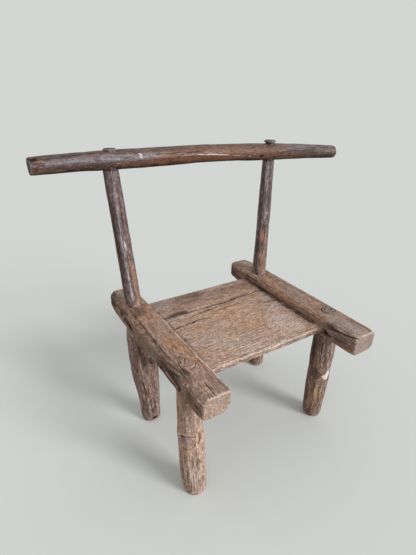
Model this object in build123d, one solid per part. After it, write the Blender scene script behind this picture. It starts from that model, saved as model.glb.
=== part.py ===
from build123d import *
import math
import os

# A low hewn chair of joined billets and poles, in millimetres.
# +X runs to the right of someone who faces it, +Y to its back and +Z up; left and right are
# that person's. The origin is on the floor, under the middle of the box around the whole chair.

# Side beams: they run front to back, and their Y sizes start from the setting-out line
beam_gap = 276.0             # clear width between the beams
beam_top = 271.0             # floor to the tops of the beams
beam_height = 42.0
left_beam_width = 54.5
left_beam_front = 201.0      # from the setting-out line to the front end
left_beam_back = 205.0
right_beam_width = 54.0
right_beam_front = 206.5
right_beam_back = 206.0
right_beam_toe = 2.5         # its front end stands out and its back end stands in by this
inner_arris = 3.0            # worn slope along the edge over the seat
left_outer_arris = 9.0       # hewn slopes along the other three edges
left_under_arris = 3.5
left_inner_under_arris = 10.0
right_outer_arris = 4.5
right_under_arris = 9.0
right_inner_under_arris = 3.5
front_end_run = 14.0         # length of beam that the front end is dressed down over
front_end_inset = 1.5
back_end_run = 34.0
back_end_inset = 4.5

# Seat board, let into a groove in each beam
seat_top = 249.5
seat_thickness = 11.5
seat_front = 124.0
seat_back = 140.0
seat_tongue = 9.0            # width of board inside each groove
seat_edge_round = 3.0
groove_side_gap = 0.5        # past each edge of the board, at the groove's bottom
groove_top_gap = 0.3
groove_runout = 7.0          # groove left open ahead of the board
groove_back_gap = 1.0

# Legs: where the axis meets the beam's top, and how far the foot stands from there
front_left_leg_y = -109.0
front_left_leg_offset = 1.3  # outward from the middle of the beam
front_left_foot_out = 2.0
front_left_foot_ahead = 30.5
front_right_leg_y = -105.0
front_right_leg_offset = 8.0
front_right_foot_out = -5.0
front_right_foot_ahead = 6.0
rear_left_leg_y = 89.0
rear_left_leg_offset = 2.3
rear_left_foot_out = -5.0
rear_left_foot_ahead = 20.5
rear_right_leg_y = 122.5
rear_right_leg_offset = 7.5
rear_right_foot_out = 3.5
rear_right_foot_ahead = 18.5

# Leg diameters under the beam, at the knee and at the floor
front_left_leg_top = 45.5
front_left_leg_knee = 49.0
front_left_leg_foot = 46.0
front_right_leg_top = 48.5
front_right_leg_knee = 49.0
front_right_leg_foot = 43.0
rear_left_leg_top = 60.0
rear_left_leg_knee = 58.0
rear_left_leg_foot = 42.0
rear_right_leg_top = 50.0
rear_right_leg_knee = 49.0
rear_right_leg_foot = 41.0
knee_height = 118.0
foot_wear = 4.0              # worn edge round each foot
leg_tenon = 27.0             # diameter
leg_tenon_proud = 1.2        # a through tenon stands this far above its beam
blind_depth = 17.0           # depth of the blind mortises, from below and from above
blind_end_gap = 0.5
joint_gap = 0.2              # around each tenon

# Wedges in the through tenons of the front legs
wedge_length = 24.0
wedge_head = 3.6             # thickness at the tenon's end
wedge_tip = 1.0
wedge_gap = 0.1
left_wedge_turn = 57.0       # degrees from +X to the wedge's breadth
left_wedge_offset = 5.0      # from the tenon's axis
right_wedge_turn = 92.0
right_wedge_offset = -6.0

# Back posts: foot on the beam's top, and where the axis meets the rail's
left_post_y = 119.5
left_post_offset = 1.3
left_post_out = 20.0         # how far it leans outward
left_post_lean = 22.5        # and how far back
left_post_base = 32.0        # across the flats
left_post_head = 26.5
left_post_tenon = 23.0       # diameter of the tenon through the rail
left_tenon_rise = 3.0        # of that tenon above the rail
right_post_y = 114.0
right_post_offset = -3.0
right_post_out = 19.0
right_post_lean = 22.0
right_post_base = 31.5
right_post_head = 24.5
right_post_tenon = 19.0
right_tenon_rise = 7.5
right_head_spread = 24.0     # diameter that its end is spread to
head_neck = 1.5              # straight tenon between the rail and the spread head
post_tenon = 22.0            # diameter of the tenon into the beam
post_facets = 8

# Back rail: one bowed pole over both posts
rail_height_left = 564.0     # floor to the rail's axis at each post
rail_height_right = 555.0
rail_bow = 2.2               # rise of the axis between the posts
rail_past_left = 136.0       # pole past the left post's axis
rail_past_right = 200.0
rail_left_end = 30.0         # diameters along the pole
rail_left_post = 35.0
rail_middle = 35.5
rail_right_post = 36.0
rail_right_end = 29.5
rail_end_round = 3.0
cope_gap = 0.3               # between a post's coped shoulder and the rail

left = -1
right = 1
beam_bottom = beam_top - beam_height
beam_width = {left: left_beam_width, right: right_beam_width}
outer_arris = {left: left_outer_arris, right: right_outer_arris}
under_arris = {left: left_under_arris, right: right_under_arris}
inner_under_arris = {left: left_inner_under_arris, right: right_inner_under_arris}


def beam_middle(side, offset):
    return side * (beam_gap / 2 + beam_width[side] / 2 + offset)


def beam_section(y, side, shift, inset):
    # eight-sided face across a beam: square to Y, smaller by the inset all round
    inner = side * (beam_gap / 2 + inset + shift)
    outer = side * (beam_gap / 2 + beam_width[side] - inset + shift)
    top = beam_top - inset
    bottom = beam_bottom + inset
    corners = [
        (inner + side * inner_arris, top),
        (outer - side * outer_arris[side], top),
        (outer, top - outer_arris[side]),
        (outer, bottom + under_arris[side]),
        (outer - side * under_arris[side], bottom),
        (inner + side * inner_under_arris[side], bottom),
        (inner, bottom + inner_under_arris[side]),
        (inner, top - inner_arris),
    ]
    return Face(Wire.make_polygon([Vector(x, y, z) for x, z in corners], close=True))


def seat_groove():
    width = beam_gap + 2 * (seat_tongue + groove_side_gap)
    length = seat_front + groove_runout + seat_back + groove_back_gap
    height = seat_thickness + groove_top_gap
    middle = (seat_back + groove_back_gap - seat_front - groove_runout) / 2
    base = (Align.CENTER, Align.CENTER, Align.MIN)
    return Pos(0, middle, seat_top - seat_thickness) * Box(width, length, height, align=base)


def make_beam(side, front, back, toe):
    stations = [
        (-front, toe, front_end_inset),
        (-front + front_end_run, toe * (1 - front_end_run / front), 0),
        (back - back_end_run, -toe * (1 - back_end_run / back), 0),
        (back, -toe, back_end_inset),
    ]
    body = loft([beam_section(y, side, shift, inset) for y, shift, inset in stations], ruled=True)
    return body - seat_groove()


def make_seat():
    base = (Align.CENTER, Align.CENTER, Align.MIN)
    width = beam_gap + 2 * seat_tongue
    length = seat_front + seat_back
    board = Box(width, length, seat_thickness, align=base)
    board = Pos(0, (seat_back - seat_front) / 2, seat_top - seat_thickness) * board
    front_edge = board.edges().filter_by(Axis.X).group_by(Axis.Y)[0]
    return fillet(front_edge, seat_edge_round)


def rod(start, end, diameter):
    span = end - start
    base = (Align.CENTER, Align.CENTER, Align.MIN)
    cylinder = Cylinder(diameter / 2, span.length, align=base)
    return Plane(origin=start, z_dir=span.normalized()) * cylinder


def on_axis(low, high, z):
    # the point of a line at height z
    return low + (high - low) * ((z - low.Z) / (high.Z - low.Z))


def leg_axis(side, y, offset, foot_out, foot_ahead):
    x = beam_middle(side, offset)
    return Vector(x + side * foot_out, y - foot_ahead, 0), Vector(x, y, beam_top)


def leg_body(axis, top, knee, foot):
    # turned profile on the leaning axis, cut level at the floor and under the beam
    low, high = axis
    spare = top / 2
    length = (high - low).length
    outline = Polyline(
        (0, -spare),
        (foot / 2, -spare),
        (foot / 2, 0),
        (knee / 2, knee_height),
        (top / 2, length),
        (0, length),
        close=True,
    )
    turned = revolve(Plane.XZ * make_face(outline), Axis.Z)
    body = Plane(origin=low, z_dir=(high - low).normalized()) * turned
    body = split(body, bisect_by=Plane.XY, keep=Keep.TOP)
    body = split(body, bisect_by=Plane.XY.offset(beam_bottom), keep=Keep.BOTTOM)
    sole = body.edges().group_by(Axis.Z)[0]
    return chamfer(sole, foot_wear)


def tenon_between(axis, diameter, z_low, z_high):
    # round tenon along an axis with level ends
    low, high = axis
    spare = diameter / 2
    tenon = rod(on_axis(low, high, z_low - spare), on_axis(low, high, z_high + spare), diameter)
    tenon = split(tenon, bisect_by=Plane.XY.offset(z_low), keep=Keep.TOP)
    return split(tenon, bisect_by=Plane.XY.offset(z_high), keep=Keep.BOTTOM)


def wedge_blank(axis, turn, offset, growth):
    # tapered plate driven down the tenon's axis from the tenon's end
    low, high = axis
    end = on_axis(low, high, beam_top + leg_tenon_proud)
    head = wedge_head / 2 + growth
    tip = wedge_tip / 2 + growth
    spare = leg_tenon_proud + growth
    rate = (head - tip) / wedge_length
    outline = Polyline(
        (offset - head - rate * spare, spare),
        (offset + head + rate * spare, spare),
        (offset + tip, -wedge_length - growth),
        (offset - tip, -wedge_length - growth),
        close=True,
    )
    plate = extrude(Plane.YZ * make_face(outline), amount=leg_tenon, both=True)
    return Plane(origin=end, z_dir=(high - low).normalized()) * (Rot(0, 0, turn) * plate)


def make_through_leg(axis, top, knee, foot, turn, offset):
    # leg with a tenon right through its beam, split for a wedge
    tenon = tenon_between(axis, leg_tenon, beam_bottom, beam_top + leg_tenon_proud)
    leg = leg_body(axis, top, knee, foot) + tenon
    return leg - wedge_blank(axis, turn, offset, wedge_gap)


def make_wedge(axis, turn, offset):
    tenon = tenon_between(axis, leg_tenon, beam_bottom, beam_top + leg_tenon_proud)
    return wedge_blank(axis, turn, offset, 0) & tenon


def make_blind_leg(axis, top, knee, foot):
    tenon = tenon_between(axis, leg_tenon, beam_bottom, beam_bottom + blind_depth)
    return leg_body(axis, top, knee, foot) + tenon


def leg_mortise(axis, z_low, z_high):
    return tenon_between(axis, leg_tenon + 2 * joint_gap, z_low, z_high)


def post_axis(side, y, offset, out, lean, height):
    x = beam_middle(side, offset)
    return Vector(x, y, beam_top), Vector(x + side * out, y + lean, height)


def rail_point(share):
    # point of the rail's bowed axis: share 0 at the left post and 1 at the right post
    left_head = left_post_axis[1]
    right_head = right_post_axis[1]
    rise = rail_bow * (1 - (2 * share - 1) ** 2)
    return left_head + (right_head - left_head) * share + Vector(0, 0, rise)


def rail_section(share, diameter):
    step = 1 / rail_span
    along = rail_point(share + step) - rail_point(share - step)
    section = Plane(origin=rail_point(share), x_dir=(0, 0, 1), z_dir=along.normalized())
    return section * make_face(CenterArc((0, 0), diameter / 2, 0, 360))


def make_rail_pole(growth):
    stations = [
        (-rail_past_left / rail_span, rail_left_end),
        (0, rail_left_post),
        (0.5, rail_middle),
        (1, rail_right_post),
        (1 + rail_past_right / rail_span, rail_right_end),
    ]
    return loft([rail_section(share, diameter + 2 * growth) for share, diameter in stations])


def post_section(axis, z, flats):
    low, high = axis
    corner = flats / 2 / math.cos(math.pi / post_facets)
    section = Plane(origin=on_axis(low, high, z), x_dir=(1, 0, 0), z_dir=(high - low).normalized())
    return section * (Rot(0, 0, 180 / post_facets) * RegularPolygon(corner, post_facets))


def make_post(axis, base, head, rail_tenon, rail_diameter, rise):
    # faceted shaft with a level shoulder below, a coped one above, and a tenon at each end
    low, high = axis
    spare = base / 2
    sections = [post_section(axis, low.Z - spare, base), post_section(axis, high.Z, head)]
    shaft = split(loft(sections), bisect_by=Plane.XY.offset(beam_top), keep=Keep.TOP)
    shaft = shaft - make_rail_pole(cope_gap)
    foot = tenon_between(axis, post_tenon, beam_top - blind_depth, beam_top)
    along = (high - low).normalized()
    top = high + along * (rail_diameter / 2 + rise)
    return shaft + foot + rod(high - along * rail_diameter, top, rail_tenon)


def make_left_post():
    return make_post(
        left_post_axis, left_post_base, left_post_head, left_post_tenon, rail_left_post, left_tenon_rise
    )


def make_right_post():
    # its tenon's end is spread above the rail by driving
    post = make_post(
        right_post_axis, right_post_base, right_post_head, right_post_tenon, rail_right_post, head_neck
    )
    low, high = right_post_axis
    along = (high - low).normalized()
    start = high + along * (rail_right_post / 2 + head_neck)
    base = (Align.CENTER, Align.CENTER, Align.MIN)
    head = Cone(right_post_tenon / 2, right_head_spread / 2, right_tenon_rise - head_neck, align=base)
    return post + Plane(origin=start, z_dir=along) * head


def post_mortise(axis):
    floor = beam_top - blind_depth - blind_end_gap
    return tenon_between(axis, post_tenon + 2 * joint_gap, floor, beam_top)


def rail_mortise(axis, tenon, rail_diameter):
    low, high = axis
    along = (high - low).normalized()
    return rod(high - along * rail_diameter, high + along * rail_diameter, tenon + 2 * joint_gap)


front_left_axis = leg_axis(
    left, front_left_leg_y, front_left_leg_offset, front_left_foot_out, front_left_foot_ahead
)
front_right_axis = leg_axis(
    right, front_right_leg_y, front_right_leg_offset, front_right_foot_out, front_right_foot_ahead
)
rear_left_axis = leg_axis(
    left, rear_left_leg_y, rear_left_leg_offset, rear_left_foot_out, rear_left_foot_ahead
)
rear_right_axis = leg_axis(
    right, rear_right_leg_y, rear_right_leg_offset, rear_right_foot_out, rear_right_foot_ahead
)
left_post_axis = post_axis(
    left, left_post_y, left_post_offset, left_post_out, left_post_lean, rail_height_left
)
right_post_axis = post_axis(
    right, right_post_y, right_post_offset, right_post_out, right_post_lean, rail_height_right
)
rail_span = (right_post_axis[1] - left_post_axis[1]).length

front_mortises = {
    left: leg_mortise(front_left_axis, beam_bottom, beam_top),
    right: leg_mortise(front_right_axis, beam_bottom, beam_top),
}
blind_end = beam_bottom + blind_depth + blind_end_gap
rear_mortises = {
    left: leg_mortise(rear_left_axis, beam_bottom, blind_end),
    right: leg_mortise(rear_right_axis, beam_bottom, blind_end),
}
post_mortises = {left: post_mortise(left_post_axis), right: post_mortise(right_post_axis)}


def bored(beam, side):
    # through mortise at the front, blind ones for the rear leg and the post
    return beam - front_mortises[side] - rear_mortises[side] - post_mortises[side]


def make_rail():
    pole = make_rail_pole(0)
    ends = pole.faces().filter_by(GeomType.PLANE)
    pole = fillet(ends.edges(), rail_end_round)
    pole = pole - rail_mortise(left_post_axis, left_post_tenon, rail_left_post)
    return pole - rail_mortise(right_post_axis, right_post_tenon, rail_right_post)


pieces = {
    "left_beam": bored(make_beam(left, left_beam_front, left_beam_back, 0), left),
    "right_beam": bored(make_beam(right, right_beam_front, right_beam_back, right_beam_toe), right),
    "seat_board": make_seat(),
    "front_left_leg": make_through_leg(
        front_left_axis, front_left_leg_top, front_left_leg_knee, front_left_leg_foot,
        left_wedge_turn, left_wedge_offset,
    ),
    "front_right_leg": make_through_leg(
        front_right_axis, front_right_leg_top, front_right_leg_knee, front_right_leg_foot,
        right_wedge_turn, right_wedge_offset,
    ),
    "rear_left_leg": make_blind_leg(
        rear_left_axis, rear_left_leg_top, rear_left_leg_knee, rear_left_leg_foot
    ),
    "rear_right_leg": make_blind_leg(
        rear_right_axis, rear_right_leg_top, rear_right_leg_knee, rear_right_leg_foot
    ),
    "front_left_wedge": make_wedge(front_left_axis, left_wedge_turn, left_wedge_offset),
    "front_right_wedge": make_wedge(front_right_axis, right_wedge_turn, right_wedge_offset),
    "left_post": make_left_post(),
    "right_post": make_right_post(),
    "back_rail": make_rail(),
}

middle = Compound(list(pieces.values())).bounding_box().center()
os.makedirs("parts", exist_ok=True)
for name, piece in pieces.items():
    export_step(Pos(-middle.X, -middle.Y, 0) * piece, f"parts/{name}.step")
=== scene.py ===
import math
import random

import bpy
import numpy as np
from mathutils import Matrix, Vector, kdtree, noise


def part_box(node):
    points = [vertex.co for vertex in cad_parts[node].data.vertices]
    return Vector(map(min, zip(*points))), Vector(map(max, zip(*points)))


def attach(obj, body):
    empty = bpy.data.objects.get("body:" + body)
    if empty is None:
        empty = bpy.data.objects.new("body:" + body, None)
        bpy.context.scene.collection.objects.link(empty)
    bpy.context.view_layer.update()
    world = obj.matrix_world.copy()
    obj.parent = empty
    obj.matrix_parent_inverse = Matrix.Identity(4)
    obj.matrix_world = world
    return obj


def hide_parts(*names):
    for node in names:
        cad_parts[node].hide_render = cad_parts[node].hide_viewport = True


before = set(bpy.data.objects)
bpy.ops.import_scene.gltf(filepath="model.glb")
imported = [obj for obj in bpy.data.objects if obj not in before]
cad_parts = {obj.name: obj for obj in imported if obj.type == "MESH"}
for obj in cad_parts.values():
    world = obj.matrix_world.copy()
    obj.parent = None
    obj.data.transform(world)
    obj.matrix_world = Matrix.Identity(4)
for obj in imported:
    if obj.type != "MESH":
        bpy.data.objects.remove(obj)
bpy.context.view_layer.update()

mm = 0.001
left = -1
right = 1
up = np.array((0.0, 0.0, 1.0))
rightward = np.array((1.0, 0.0, 0.0))
backward = np.array((0.0, 1.0, 0.0))
faceViews = {                    # the two coordinates a face is drawn in, and the way it looks
    "top": ([0, 1], up),
    "under": ([0, 1], -up),
    "left": ([1, 2], -rightward),
    "right": ([1, 2], rightward),
    "front": ([0, 2], -backward),
    "back": ([0, 2], backward),
}
markSets = {                     # what the finishes are told at each point of a piece
    "marks": ("deep", "worn", "polished"),
    "tints": ("dark", "pale", "warm"),
    "tones": ("end", "grey", "red"),
}
facingShare = 0.25               # skin that turns further from a face's view isn't on that face
seedStep = 7                     # from one entry of a work list to the next
cutSkin = (0.8, 1.2)             # a cut wall starts this far off the old skin, and its painted shade grows over this
sharpTurn = 55                   # degrees between faces that meet in a sharp edge

# All the pieces are set out in mm from lines on the floor: X 0 midway between the beams and
# Y 0 near the middle of the seat. The seat board's box says where those lines are in the frame.
seatFront = -124.0
seatLow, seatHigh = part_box("seat_board")
lines = np.array(((seatLow.x + seatHigh.x) / 2, seatLow.y - seatFront * mm, 0.0))


def toFrame(points):
    return np.asarray(points, float) * mm + lines


def wander(points, size, seed=0):
    # smooth noise from about -1 to 1 at points in mm; size is how wide its bumps are, one
    # number or one for each axis
    spots = np.asarray(points, float).reshape(-1, 3) / np.array(size) + 19.7 * seed
    found = np.array([noise.noise(spot) for spot in spots.tolist()])
    return found.reshape(np.shape(points)[:-1])


def softStep(values):
    values = np.clip(values, 0, 1)
    return values * values * (3 - 2 * values)


def blurAround(values, passes=1, axis=1):
    # shares each point of closed rings with its neighbours, which rounds corners off
    for _ in range(passes):
        values = (np.roll(values, 1, axis) + 2 * values + np.roll(values, -1, axis)) / 4
    return values


def blurRings(values, passes):
    for _ in range(passes):
        values = blurAround(values)
        padded = np.concatenate((values[:1], values, values[-1:]))
        values = (padded[:-2] + 2 * values + padded[2:]) / 4
    return values


def circle(count, across, other):
    # turns about an axis, and the way outwards at each of them
    turns = np.linspace(0, 2 * math.pi, count, endpoint=False)
    return turns, np.cos(turns)[:, None] * across + np.sin(turns)[:, None] * other


def edgeLoop(corners, counts):
    # points along the edges of a closed outline, with a count for each edge
    corners = np.array(corners, float)
    edges = zip(corners, np.roll(corners, -1, 0), counts)
    return np.concatenate([a + (b - a) * (np.arange(count) / count)[:, None] for a, b, count in edges])


def alongX(loop, stations):
    # the same outline of Y and Z at each place along X
    return np.array([np.stack((np.full(len(loop), x), loop[:, 0], loop[:, 1]), 1) for x in stations])


def endRings(section, outward, edge, step):
    # rings from a body's last section over its rounded edge to the middle of its end
    middle = section.mean(0)
    reach = np.linalg.norm(section - middle, axis=1).mean()
    rings = []
    turns = max(3, round(1.6 * edge / step))
    for turn in np.linspace(0, math.pi / 2, turns + 1)[1:]:
        shrink = 1 - edge * (1 - math.cos(turn)) / reach
        rings.append(middle + (section - middle) * shrink + outward * edge * math.sin(turn))
    last = rings[-1]
    flat = last.mean(0)
    inner = max(3, round((reach - edge) / step))
    for ring in range(1, inner):
        rings.append(flat + (last - flat) * (1 - ring / inner))
    return rings


def capped(rings, along, first, last):
    # a body with both ends closed; first and last give each end's edge and step
    start = endRings(rings[0], -along, *first)[::-1]
    return start + list(rings) + endRings(rings[-1], along, *last)


def gapTo(flat, line):
    # distance from a line of points, and the share of the way along it
    lengths = np.linalg.norm(np.diff(line, axis=0), axis=1)
    done = 0.0
    gap = np.full(len(flat), 1e9)
    share = np.zeros(len(flat))
    for start, end, length in zip(line[:-1], line[1:], lengths):
        span = end - start
        along = np.clip((flat - start) @ span / length ** 2, 0, 1)
        here = np.linalg.norm(flat - start - along[:, None] * span, axis=1)
        nearer = here < gap
        gap = np.where(nearer, here, gap)
        share = np.where(nearer, (done + along * length) / lengths.sum(), share)
        done += length
    return gap, share


def insideBy(flat, outline):
    # distance in from a closed outline, 0 outside it
    gap = gapTo(flat, np.vstack((outline, outline[:1])))[0]
    inside = np.zeros(len(flat), bool)
    for start, end in zip(outline, np.roll(outline, -1, 0)):
        if start[1] != end[1]:
            crossing = start[0] + (end[0] - start[0]) * (flat[:, 1] - start[1]) / (end[1] - start[1])
            inside ^= ((start[1] > flat[:, 1]) != (end[1] > flat[:, 1])) & (flat[:, 0] < crossing)
    return gap * inside


class Billet:
    # one piece's skin as rings of points in mm, with what its finish needs to know at each point
    def __init__(self, rings, roundFace=None):
        self.grid = np.array(rings, float)
        self.start = self.grid.copy()        # features are found by the undisturbed place
        self.outward = self.facing()
        self.aim = self.outward
        marks = [name for names in markSets.values() for name in names]
        self.marks = {name: np.zeros(self.grid.shape[:2]) for name in marks}
        if roundFace:
            self.round, self.roundScale = roundFace(self.start)

    def facing(self):
        around = np.roll(self.grid, -1, 1) - np.roll(self.grid, 1, 1)
        along = np.gradient(self.grid, axis=0)
        outward = np.cross(around, along)
        outward /= np.maximum(np.linalg.norm(outward, axis=2, keepdims=True), 1e-9)
        middle = self.grid.mean(1, keepdims=True)
        return outward * np.sign(np.sum(outward * (self.grid - middle)))

    def refresh(self):
        self.outward = self.facing()

    def sink(self, depth, near=...):
        self.grid[near] -= self.outward[near] * np.asarray(depth)[..., None]

    def roughen(self, size, depth, seed, share=1.0):
        self.sink(share * depth * wander(self.start, size, seed))

    def hew(self, coats, seed, share=1.0):
        # broad facets first, then tool marks and raised grain
        for number, (size, depth) in enumerate(coats):
            self.roughen(size, depth, seed + number, share)

    def mark(self, name, near, values):
        self.marks[name][near] = np.maximum(self.marks[name][near], values)

    def place(self, face, drawing, reach, sway, seed):
        # the skin near a drawing on one of its faces, in that face's own two coordinates
        drawing = np.array(drawing, float)
        if face == "round":
            flat = self.round
            shown = np.ones(self.grid.shape[:2], bool)
            drawing = drawing * self.roundScale
        else:
            axes, way = faceViews[face]
            flat = self.start[..., axes]
            shown = self.aim @ way > facingShare
        near = shown & np.all((flat > drawing.min(0) - reach) & (flat < drawing.max(0) + reach), 2)
        spots = self.start[near]
        flat = flat[near] + sway * np.stack((wander(spots, 9.0, seed), wander(spots, 9.0, seed + 1)), 1)
        return near, flat, drawing, spots

    def check(self, face, line, width, depth, sway=0.5, stain=0.45, power=0.6, seed=1):
        # a drying split that narrows to both its ends
        near, flat, line, spots = self.place(face, line, 3 * width + 3, sway, seed)
        gap, share = gapTo(flat, line)
        taper = np.sqrt(np.clip(5 * np.minimum(share, 1 - share), 0.04, 1))
        half = width / 2 * taper * (1 + 0.4 * wander(spots, 7.0, seed + 4))
        cut = np.clip(1 - gap / half, 0, 1)
        self.sink(depth * taper * cut ** power, near)
        self.mark("deep", near, np.clip(width / 2.2, 0, 1) ** 2 * np.clip(1.25 - gap / half, 0, 1))
        self.mark("dark", near, stain * taper * np.exp(-np.minimum(gap / (1.5 * width), 9) ** 2))

    def flake(self, face, outline, depth, wall=1.5, marks=(), sway=0.7, seed=1):
        # wood gone, or standing proud where the depth is below 0, inside an outline
        near, flat, outline, spots = self.place(face, outline, 3, sway, seed)
        share = softStep(insideBy(flat, outline) / wall)
        self.sink(depth * share * (1 + 0.2 * wander(spots, 5.0, seed + 5)), near)
        for name, strength in dict(marks).items():
            if strength > 0:
                self.mark(name, near, strength * share)
            else:
                self.marks[name][near] *= 1 + strength * share

    def stain(self, face, kind, middle, reach, strength, seed=1):
        near, flat, middle, spots = self.place(face, [middle], 1.6 * max(reach), 0.0, seed)
        off = (flat - middle) / np.array(reach, float)
        inside = softStep(1.25 - np.linalg.norm(off, axis=1) + 0.35 * wander(spots, min(reach), seed))
        self.mark(kind, near, strength * inside)

    def streak(self, face, kind, line, width, strength, seed=1):
        near, flat, line, spots = self.place(face, line, 1.5 * width, 0.8, seed)
        gap, share = gapTo(flat, line)
        taper = softStep(6 * np.minimum(share, 1 - share) + 0.3)
        patchy = 0.8 + 0.5 * wander(spots, 1.6 * width + 4, seed + 3)
        fade = np.exp(-np.minimum(gap * 1.5 / width, 9) ** 2)
        self.mark(kind, near, np.clip(strength * taper * patchy, 0, 1) * fade)

    def age(self, work, seed):
        for number, (what, *details) in enumerate(work):
            getattr(self, what)(*details, seed=seed + seedStep * number)

    def strew(self, hairs, seed):
        for number, *details in hairs:
            self.fineChecks(*details, seed + number)

    def fineChecks(self, face, low, high, count, length, axis, widest, seed):
        # hair checks and short tears strewn along the grain between two corners of a face
        chance = random.Random(seed)
        for number in range(count):
            start = [chance.uniform(a, b) for a, b in zip(low, high)]
            end = list(start)
            end[axis] += length * chance.uniform(0.35, 1.0)
            middle = [(a + b) / 2 for a, b in zip(start, end)]
            middle[1 - axis] += chance.uniform(-1.5, 1.5)
            width = widest * chance.uniform(0.5, 1.0)
            self.check(face, [start, middle, end], width, 0.5 * width, stain=0.2, seed=seed + number)

    def wearArrises(self, passes, reach, strength=1.0):
        # edges that stand out from the skin around them are rubbed pale; hollows are darkened with dirt and
        # painted shade
        proud = np.sum((self.grid - blurRings(self.grid, passes)) * self.facing(), axis=2)
        self.mark("worn", ..., strength * np.clip(proud / reach, 0, 1))
        self.mark("dark", ..., 0.6 * np.clip(-proud / reach - 0.1, 0, 1))

    def endGrain(self, way, low=0.7, high=0.9):
        self.mark("end", ..., softStep((self.aim @ np.array(way) - low) / (high - low)))


def skinOf(name, grid):
    # quads between the rings, closed with a point at each end
    count, around = grid.shape[:2]
    points = np.concatenate((grid.reshape(-1, 3), grid[:1].mean(1), grid[-1:].mean(1)))
    here = np.arange(around)
    there = (here + 1) % around
    rows = np.arange(count - 1)[:, None] * around
    quads = (rows + here, rows + there, rows + around + there, rows + around + here)
    quads = np.stack(quads, 2).reshape(-1, 4)
    last = (count - 1) * around
    first = [(len(points) - 2, int(b), int(a)) for a, b in zip(here, there)]
    final = [(len(points) - 1, int(last + a), int(last + b)) for a, b in zip(here, there)]
    faces = quads.tolist() + first + final
    corners = points[quads]
    cross = np.cross(corners[:, 1] - corners[:, 0], corners[:, 2] - corners[:, 0])
    middle = points.mean(0)
    if np.sum((corners[:, 0] - middle) * cross) < 0:
        faces = [face[::-1] for face in faces]
    mesh = bpy.data.meshes.new(name)
    mesh.from_pydata(toFrame(points).tolist(), [], faces)
    mesh.update()
    piece = bpy.data.objects.new(name, mesh)
    bpy.context.scene.collection.objects.link(piece)
    return piece


def cutOut(piece, cutter):
    # takes the cutter's shape out of the piece, then removes the cutter
    boolean = piece.modifiers.new("cut", "BOOLEAN")
    boolean.operation = "DIFFERENCE"
    boolean.solver = "EXACT"
    boolean.object = cutter
    bpy.context.view_layer.update()
    solid = piece.evaluated_get(bpy.context.evaluated_depsgraph_get())
    mesh = bpy.data.meshes.new_from_object(solid)
    piece.modifiers.clear()
    plain = piece.data
    piece.data = mesh
    bpy.data.meshes.remove(plain)
    bpy.data.objects.remove(cutter)


def dress(piece, billet, origin, across, along, finish, node):
    # writes the grain's own coordinates and the marks on the points, then hands the piece over
    mesh = piece.data
    mesh.name = piece.name
    places = np.zeros(len(mesh.vertices) * 3)
    mesh.vertices.foreach_get("co", places)
    places = (places.reshape(-1, 3) - lines) / mm
    along = np.array(along, float) / np.linalg.norm(along)
    across = np.array(across, float)
    across = across - along * (across @ along)
    across = across / np.linalg.norm(across)
    axes = np.stack((across, np.cross(along, across), along), 1)
    grain = (places - np.array(origin, float)) @ axes * mm

    skin = billet.grid.reshape(-1, 3)
    tree = kdtree.KDTree(len(skin))
    for index, point in enumerate(skin.tolist()):
        tree.insert(point, index)
    tree.balance()
    found = [tree.find(place)[1:] for place in places.tolist()]
    nearest = np.array([index for index, _ in found])
    away = np.array([distance for _, distance in found])
    values = {name: mark.reshape(-1)[nearest] for name, mark in billet.marks.items()}
    walls = np.clip((away - cutSkin[0]) / cutSkin[1], 0, 1)   # inside a mortise, groove or slot, given painted shade through the deep mark
    values["deep"] = np.maximum(values["deep"], 0.85 * walls)
    for name, triple in markSets.items():
        layer = mesh.attributes.new(name, "FLOAT_VECTOR", "POINT")
        layer.data.foreach_set("vector", np.stack([values[part] for part in triple], 1).ravel())
    layer = mesh.attributes.new("grain", "FLOAT_VECTOR", "POINT")
    layer.data.foreach_set("vector", grain.ravel())

    mesh.polygons.foreach_set("use_smooth", [True] * len(mesh.polygons))
    mesh.set_sharp_from_angle(angle=math.radians(sharpTurn))
    mesh.materials.clear()
    mesh.materials.append(finish)
    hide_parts(node)
    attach(piece, "root")
    print("made", piece.name, len(mesh.polygons), "faces")
    return piece


# Sums on wires add their own Math nodes, and add() makes every other node
class Wire:
    def __init__(self, nodes, socket):
        self.nodes = nodes
        self.socket = socket

    def maths(self, operation, *values, clamp=False):
        settings = {"operation": operation, "use_clamp": clamp}
        return self.nodes.add("Math", settings, dict(enumerate(values)))

    def __add__(self, other):
        return self.maths("ADD", self, other)

    def __radd__(self, other):
        return self.maths("ADD", other, self)

    def __sub__(self, other):
        return self.maths("SUBTRACT", self, other)

    def __rsub__(self, other):
        return self.maths("SUBTRACT", other, self)

    def __mul__(self, other):
        return self.maths("MULTIPLY", self, other)

    def __rmul__(self, other):
        return self.maths("MULTIPLY", other, self)

    def __truediv__(self, other):
        return self.maths("DIVIDE", self, other)

    def __rtruediv__(self, other):
        return self.maths("DIVIDE", other, self)

    def __pow__(self, other):
        return self.maths("POWER", self, other)

    def __abs__(self):
        return self.maths("ABSOLUTE", self)

    def clamped(self):
        return self.maths("ADD", self, 0.0, clamp=True)

    def rises(self, low, high):
        # 0 below low, 1 above high and smooth between them; falls where low is above high
        sockets = {"Value": self, "From Min": low, "From Max": high}
        return self.nodes.add("MapRange", {"interpolation_type": "SMOOTHSTEP"}, sockets)


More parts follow.
